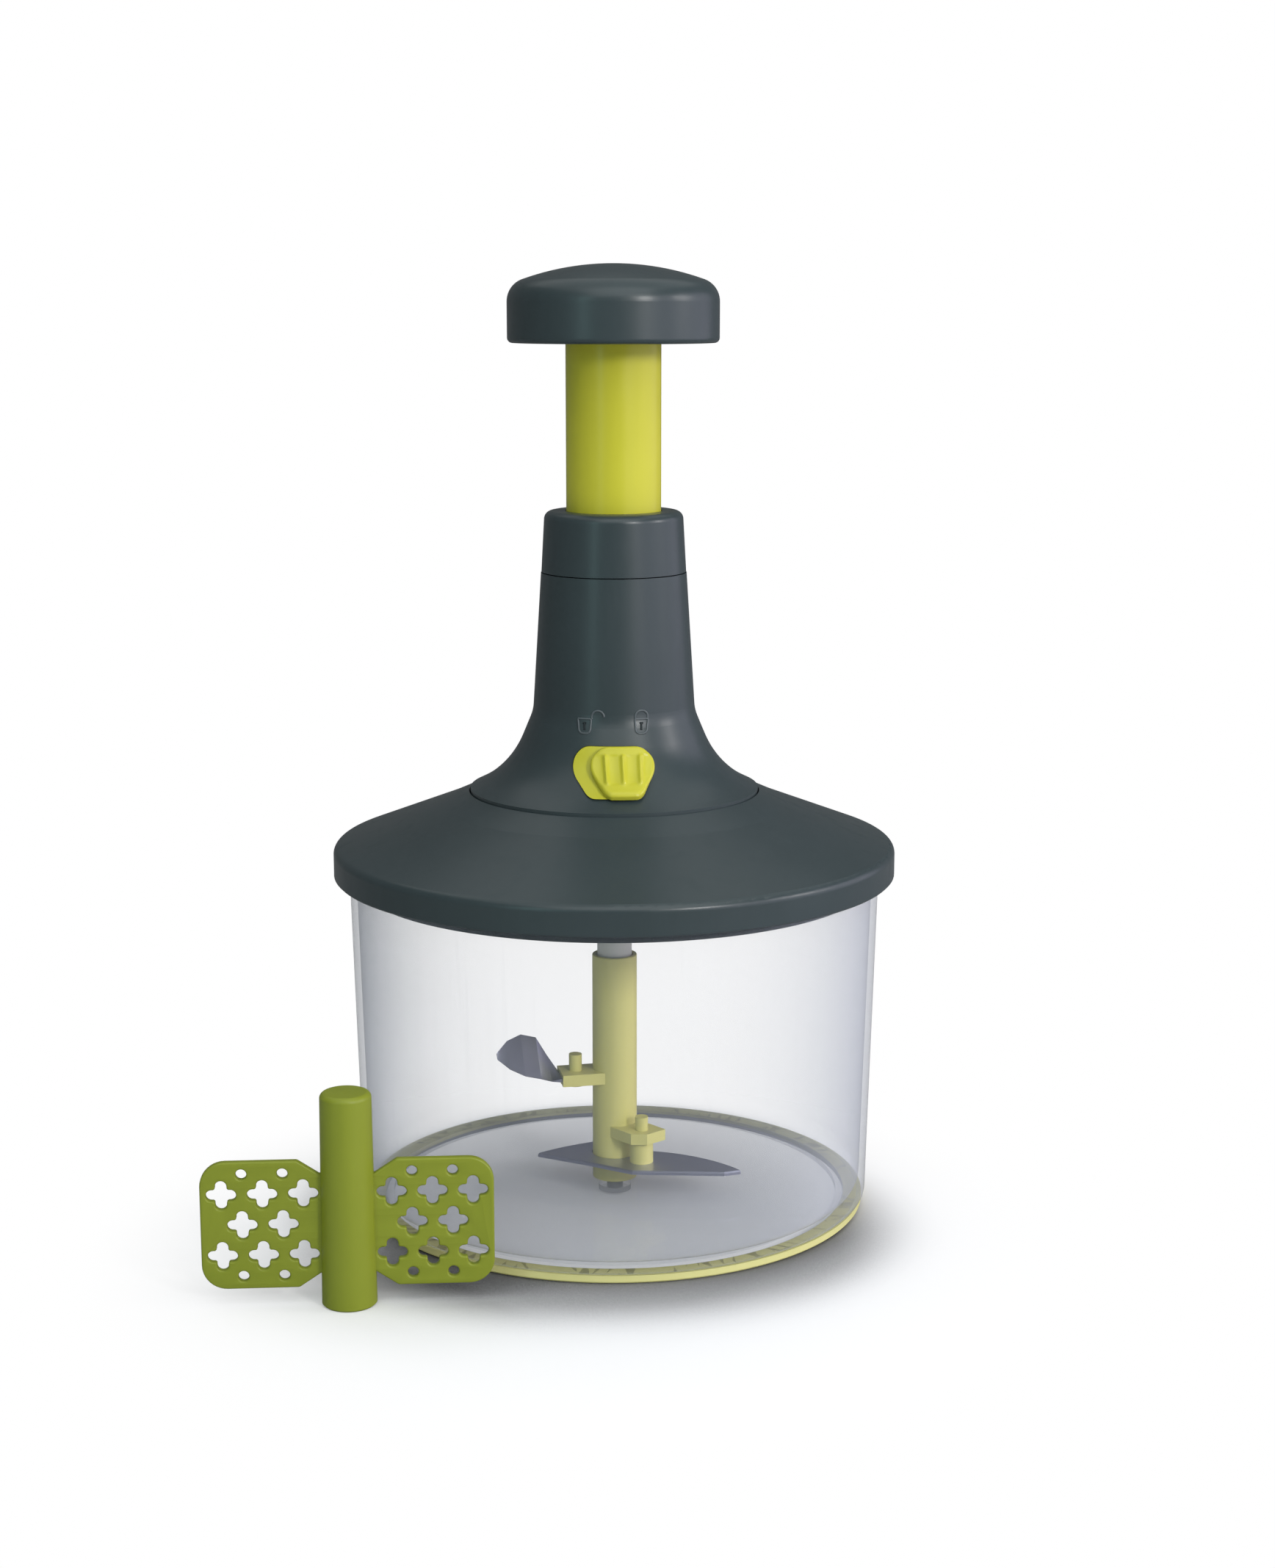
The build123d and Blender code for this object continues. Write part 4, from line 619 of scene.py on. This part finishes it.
# Paddle wings: one pierced plate through the hub
wing_top = WING_LOW + WING_HEIGHT
wing_middle = WING_LOW + WING_HEIGHT / 2
right_half = [
    (HUB_R, WING_LOW + WING_CUT_DOWN),
    (HUB_R + WING_CUT_OUT, WING_LOW),
    (WING_REACH, WING_LOW),
    (WING_REACH, wing_top),
    (HUB_R + WING_CUT_OUT, wing_top),
    (HUB_R, wing_top - WING_CUT_DOWN),
]
corner_rounds = [0, WING_CUT_R, WING_CORNER, WING_CORNER, WING_CUT_R, 0]
wing_corners = right_half + [(-x, z) for x, z in right_half[::-1]]
wing_outlines = [rounded(wing_corners, corner_rounds * 2, 10)]
last_angle = 360 - 360 / SMALL_HOLE_SIDES
for side in (-1, 1):
    for row in (-1, 1):
        for column in range(3):
            centre = (side * (CROSS_FIRST + CROSS_PITCH_X * column), wing_middle + row * CROSS_PITCH_Z)
            wing_outlines.append(cross_outline(centre))
    for column in range(2):
        middle_x = side * (CROSS_FIRST + CROSS_PITCH_X * (column + 0.5))
        wing_outlines.append(cross_outline((middle_x, wing_middle)))
        for row in (-1, 1):
            spot = (middle_x, wing_middle + row * SMALL_HOLE_Z)
            wing_outlines.append(arc(spot, SMALL_HOLE_R, 0, last_angle, SMALL_HOLE_SIDES - 1))
wing_mesh = plate_mesh("paddle_wings", wing_outlines, WING_THICK, WING_EDGE)
upright = Matrix.Rotation(radians(90), 4, "X")
wing_place = Matrix.Translation(Vector((*PADDLE_PLACE, 0)) * MM)
wing_mesh.transform(wing_place @ Matrix.Rotation(radians(PADDLE_TURN), 4, "Z") @ upright)
new_piece("paddle_wings", smoothed(wing_mesh, 40), "paddle", olive_plastic)


# Padlock signs: thin raised lines on the neck, open at the left and closed at the right; the lines are
# lighter than the neck as a painted highlight, and their keyholes dark as painted shade
def sign_lines(centre, shackle_shift):
    """Outlines of a padlock: its body, and its shackle with one free end where it stands open."""
    half = SIGN_BODY_W / 2
    body = rounded(
        [
            (centre - half * SIGN_TAPER, SIGN_LOW),
            (centre + half * SIGN_TAPER, SIGN_LOW),
            (centre + half, SIGN_BODY_TOP),
            (centre - half, SIGN_BODY_TOP),
        ],
        [SIGN_FOOT_R, SIGN_FOOT_R, SIGN_SHOULDER_R, SIGN_SHOULDER_R],
        5,
    )
    shackle_r = half - SHACKLE_INSET
    foot = centre + shackle_shift
    crown = SIGN_TOP - shackle_r
    shackle = [*arc((foot, crown), shackle_r, 0, 180, 12), (foot - shackle_r, SIGN_BODY_TOP)]
    if not shackle_shift:
        shackle.insert(0, (foot + shackle_r, SIGN_BODY_TOP))
    return [(body, True), (shackle, False)]


def keyhole_lines(centre):
    """A keyhole: an upright slot with a short bar over it."""
    slot = [(centre, KEYHOLE_LOW), (centre, KEYHOLE_HIGH)]
    bar = [(centre - KEYHOLE_HALF_W, KEYHOLE_HIGH), (centre + KEYHOLE_HALF_W, KEYHOLE_HIGH)]
    return [(slot, False), (bar, False)]


def wire_mesh(name, lines, radius):
    """Round wire along open and closed lines of points, as one mesh."""
    curve = bpy.data.curves.new(name, "CURVE")
    curve.dimensions = "3D"
    curve.bevel_depth = radius * MM
    curve.bevel_resolution = 2
    curve.use_fill_caps = True
    for line, closed in lines:
        add_line(curve, [Vector(place) * MM for place in line], closed)
    return smoothed(mesh_of(curve), 60)


def raised_lines(name, lines):
    """Round raised lines that follow the neck's surface."""
    proud = SIGN_PROUD - SIGN_LINE
    on_surface = [([on_neck(x, z, proud) for x, z in line], closed) for line, closed in lines]
    return wire_mesh(name, on_surface, SIGN_LINE)


for name, centre, shift in (
    ("open_padlock_sign", OPEN_X, SIGN_BODY_W),
    ("closed_padlock_sign", CLOSED_X, 0.0),
):
    sign = raised_lines(name, sign_lines(centre, shift))
    # The sign lines are lighter than the neck: a painted highlight
    new_piece(name, sign, "lid", sign_plastic_painted_highlight)
    keyhole = raised_lines(name + "_keyhole", keyhole_lines(centre))
    # The keyholes are dark: painted shade
    new_piece(name + "_keyhole", keyhole, "lid", keyhole_painted_shade)

# Return spring: a wound wire on the clutch cover that the plunger squeezes
spring_low, spring_high = (Vector(corner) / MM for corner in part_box("return_spring"))
spring_r = (spring_high.x - spring_low.x) / 2 - SPRING_WIRE_R
spring_height = spring_high.z - spring_low.z
coil_line = []
for i in range(SPRING_TURNS * SPRING_STEPS + 1):
    share = i / (SPRING_TURNS * SPRING_STEPS)
    turn = 2 * pi * SPRING_TURNS * share
    rise = SPRING_WIRE_R + (spring_height - 2 * SPRING_WIRE_R) * share
    coil_line.append((spring_r * cos(turn), spring_r * sin(turn), spring_low.z + rise))
coil_mesh = wire_mesh("spring_coil", [(coil_line, False)], SPRING_WIRE_R)
spring_coil = new_piece("spring_coil", coil_mesh, "lid", plain_steel)
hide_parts("return_spring")
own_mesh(spring_coil)

# Camera
camera = bpy.data.objects.new("camera", bpy.data.cameras.new("camera"))
camera.data.lens = CAMERA_LENS
camera.data.sensor_width = CAMERA_SENSOR
camera.data.clip_start = 0.01
camera.location = Vector(CAMERA_PLACE) * MM
camera.rotation_euler = (radians(90 - CAMERA_PITCH), 0.0, 0.0)
bpy.context.scene.collection.objects.link(camera)
bpy.context.scene.camera = camera

# Studio floor and wall
bend = arc((FLOOR_R, WALL_BEND), WALL_BEND, 270, 360, 16)
sweep_mesh = turned("studio_sweep", [(0.0, 0.0), *bend, (FLOOR_R + WALL_BEND, WALL_TOP)], 72, (0, 0))
sweep_mesh.flip_normals()
sweep_mesh.shade_smooth()


def sweep_finish():
    """White paper: a soft shadow where the object stands, a painted shade deepest at its foot, evenly white
    around it.
    """
    f = material("studio_paper")
    place = f.place()
    fibre = f.noise(place, 900.0, 3.0)
    seen = f.node("LightPath", output="Is Camera Ray")
    shine = f.node("LightPath", output="Is Glossy Ray")
    through = f.node("LightPath", output="Is Transmission Ray")

    # Painted shade at the bowl's foot, from ambient occlusion, for camera rays: outside its ring, less
    # further out, and only in front
    spread = f.distance(place, SHADOW_MIDDLE)
    from_axis = f.distance(place, (0.0, 0.0, 0.0))
    sky = f.node("AmbientOcclusion", {"samples": 4}, {"Distance": FOOT_SHADE_REACH}, output="AO")
    ring_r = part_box("base_ring")[1][0]
    outside = f.step(from_axis, ring_r - FOOT_SHADE_EDGE, ring_r)
    beyond = f.step(from_axis, ring_r + FOOT_SHADE_FADE[0], ring_r + FOOT_SHADE_FADE[1])
    in_front = 1 - f.step(spread, *FOOT_SHADE_FRONT)
    strength = (outside - beyond * FOOT_SHADE_DROP) * in_front * seen
    shade = 1 - strength * (1 - sky * sky * sky)

    # The painted foot shade darkens both the white glow and the lit paper
    away = SHADOW_WHITE + f.step(spread, *SHADOW_FADE) * (1 - SHADOW_WHITE)
    white = away * (seen + through + shine * WHITE_IN_GLOSS).clamped() * shade
    paper = f.tint(fibre, srgb(204, 204, 205), srgb(207, 207, 208))
    level = (1 + seen * LIGHTER_SEEN - shine * DARKER_IN_GLOSS) * shade
    bright = f.node("VectorMath", {"operation": "SCALE"}, {0: paper, "Scale": level})
    matt = {"Base Color": bright, "Roughness": 1.0, "Specular IOR Level": 0.0}
    lit = f.node("BsdfPrincipled", {}, matt)
    glow = f.node("Emission", {}, {"Color": srgb(255, 255, 255), "Strength": 1.0})
    mixed = f.node("MixShader", {}, {0: white, 1: lit, 2: glow})
    f.node("OutputMaterial", {}, {"Surface": mixed})
    return f.owner


sweep = bpy.data.objects.new("studio_sweep", sweep_mesh)
sweep_mesh.materials.append(sweep_finish())
bpy.context.scene.collection.objects.link(sweep)


def soft_light(name, azimuth, height, distance, size, power, colour):
    """A soft box that faces the object, its azimuth in degrees to the right of the front."""
    lamp = bpy.data.lights.new(name, "AREA")
    lamp.shape = "RECTANGLE"
    lamp.size, lamp.size_y = size
    lamp.energy = power
    lamp.color = colour
    turn, tip = radians(azimuth), radians(height)
    towards = Vector((sin(turn) * cos(tip), -cos(turn) * cos(tip), sin(tip)))
    holder = bpy.data.objects.new(name, lamp)
    holder.location = Vector(LIGHT_AIM) + towards * distance
    holder.rotation_euler = towards.to_track_quat("Z", "Y").to_euler()
    bpy.context.scene.collection.objects.link(holder)


soft_light("front_light", 34, 20, 1.3, (0.2, 0.2), 5.2, (1.0, 0.985, 0.96))
soft_light("key_light", 80, 19, 1.3, (0.24, 0.24), 3.0, (1.0, 0.97, 0.94))
soft_light("side_panel", 80, 4, 1.2, (2.4, 1.2), 10.5, (0.86, 0.8, 1.0))
soft_light("strip_light", -31, 14, 1.3, (0.09, 0.6), 1.1, (0.6, 1.0, 0.98))
soft_light("front_panel", 8, 48, 1.4, (1.5, 1.0), 7.8, (0.97, 1.0, 1.0))
soft_light("top_panel", 180, 84, 1.3, (2.2, 1.9), 9.5, (1.0, 1.0, 1.0))

world = bpy.data.worlds.new("studio_world")
bpy.context.scene.world = world
w = Finish(world)
light = w.node("Background", {}, {"Color": srgb(196, 232, 230), "Strength": 0.1})
w.node("OutputWorld", {}, {"Surface": light})

bpy.context.scene.view_settings.view_transform = "Standard"
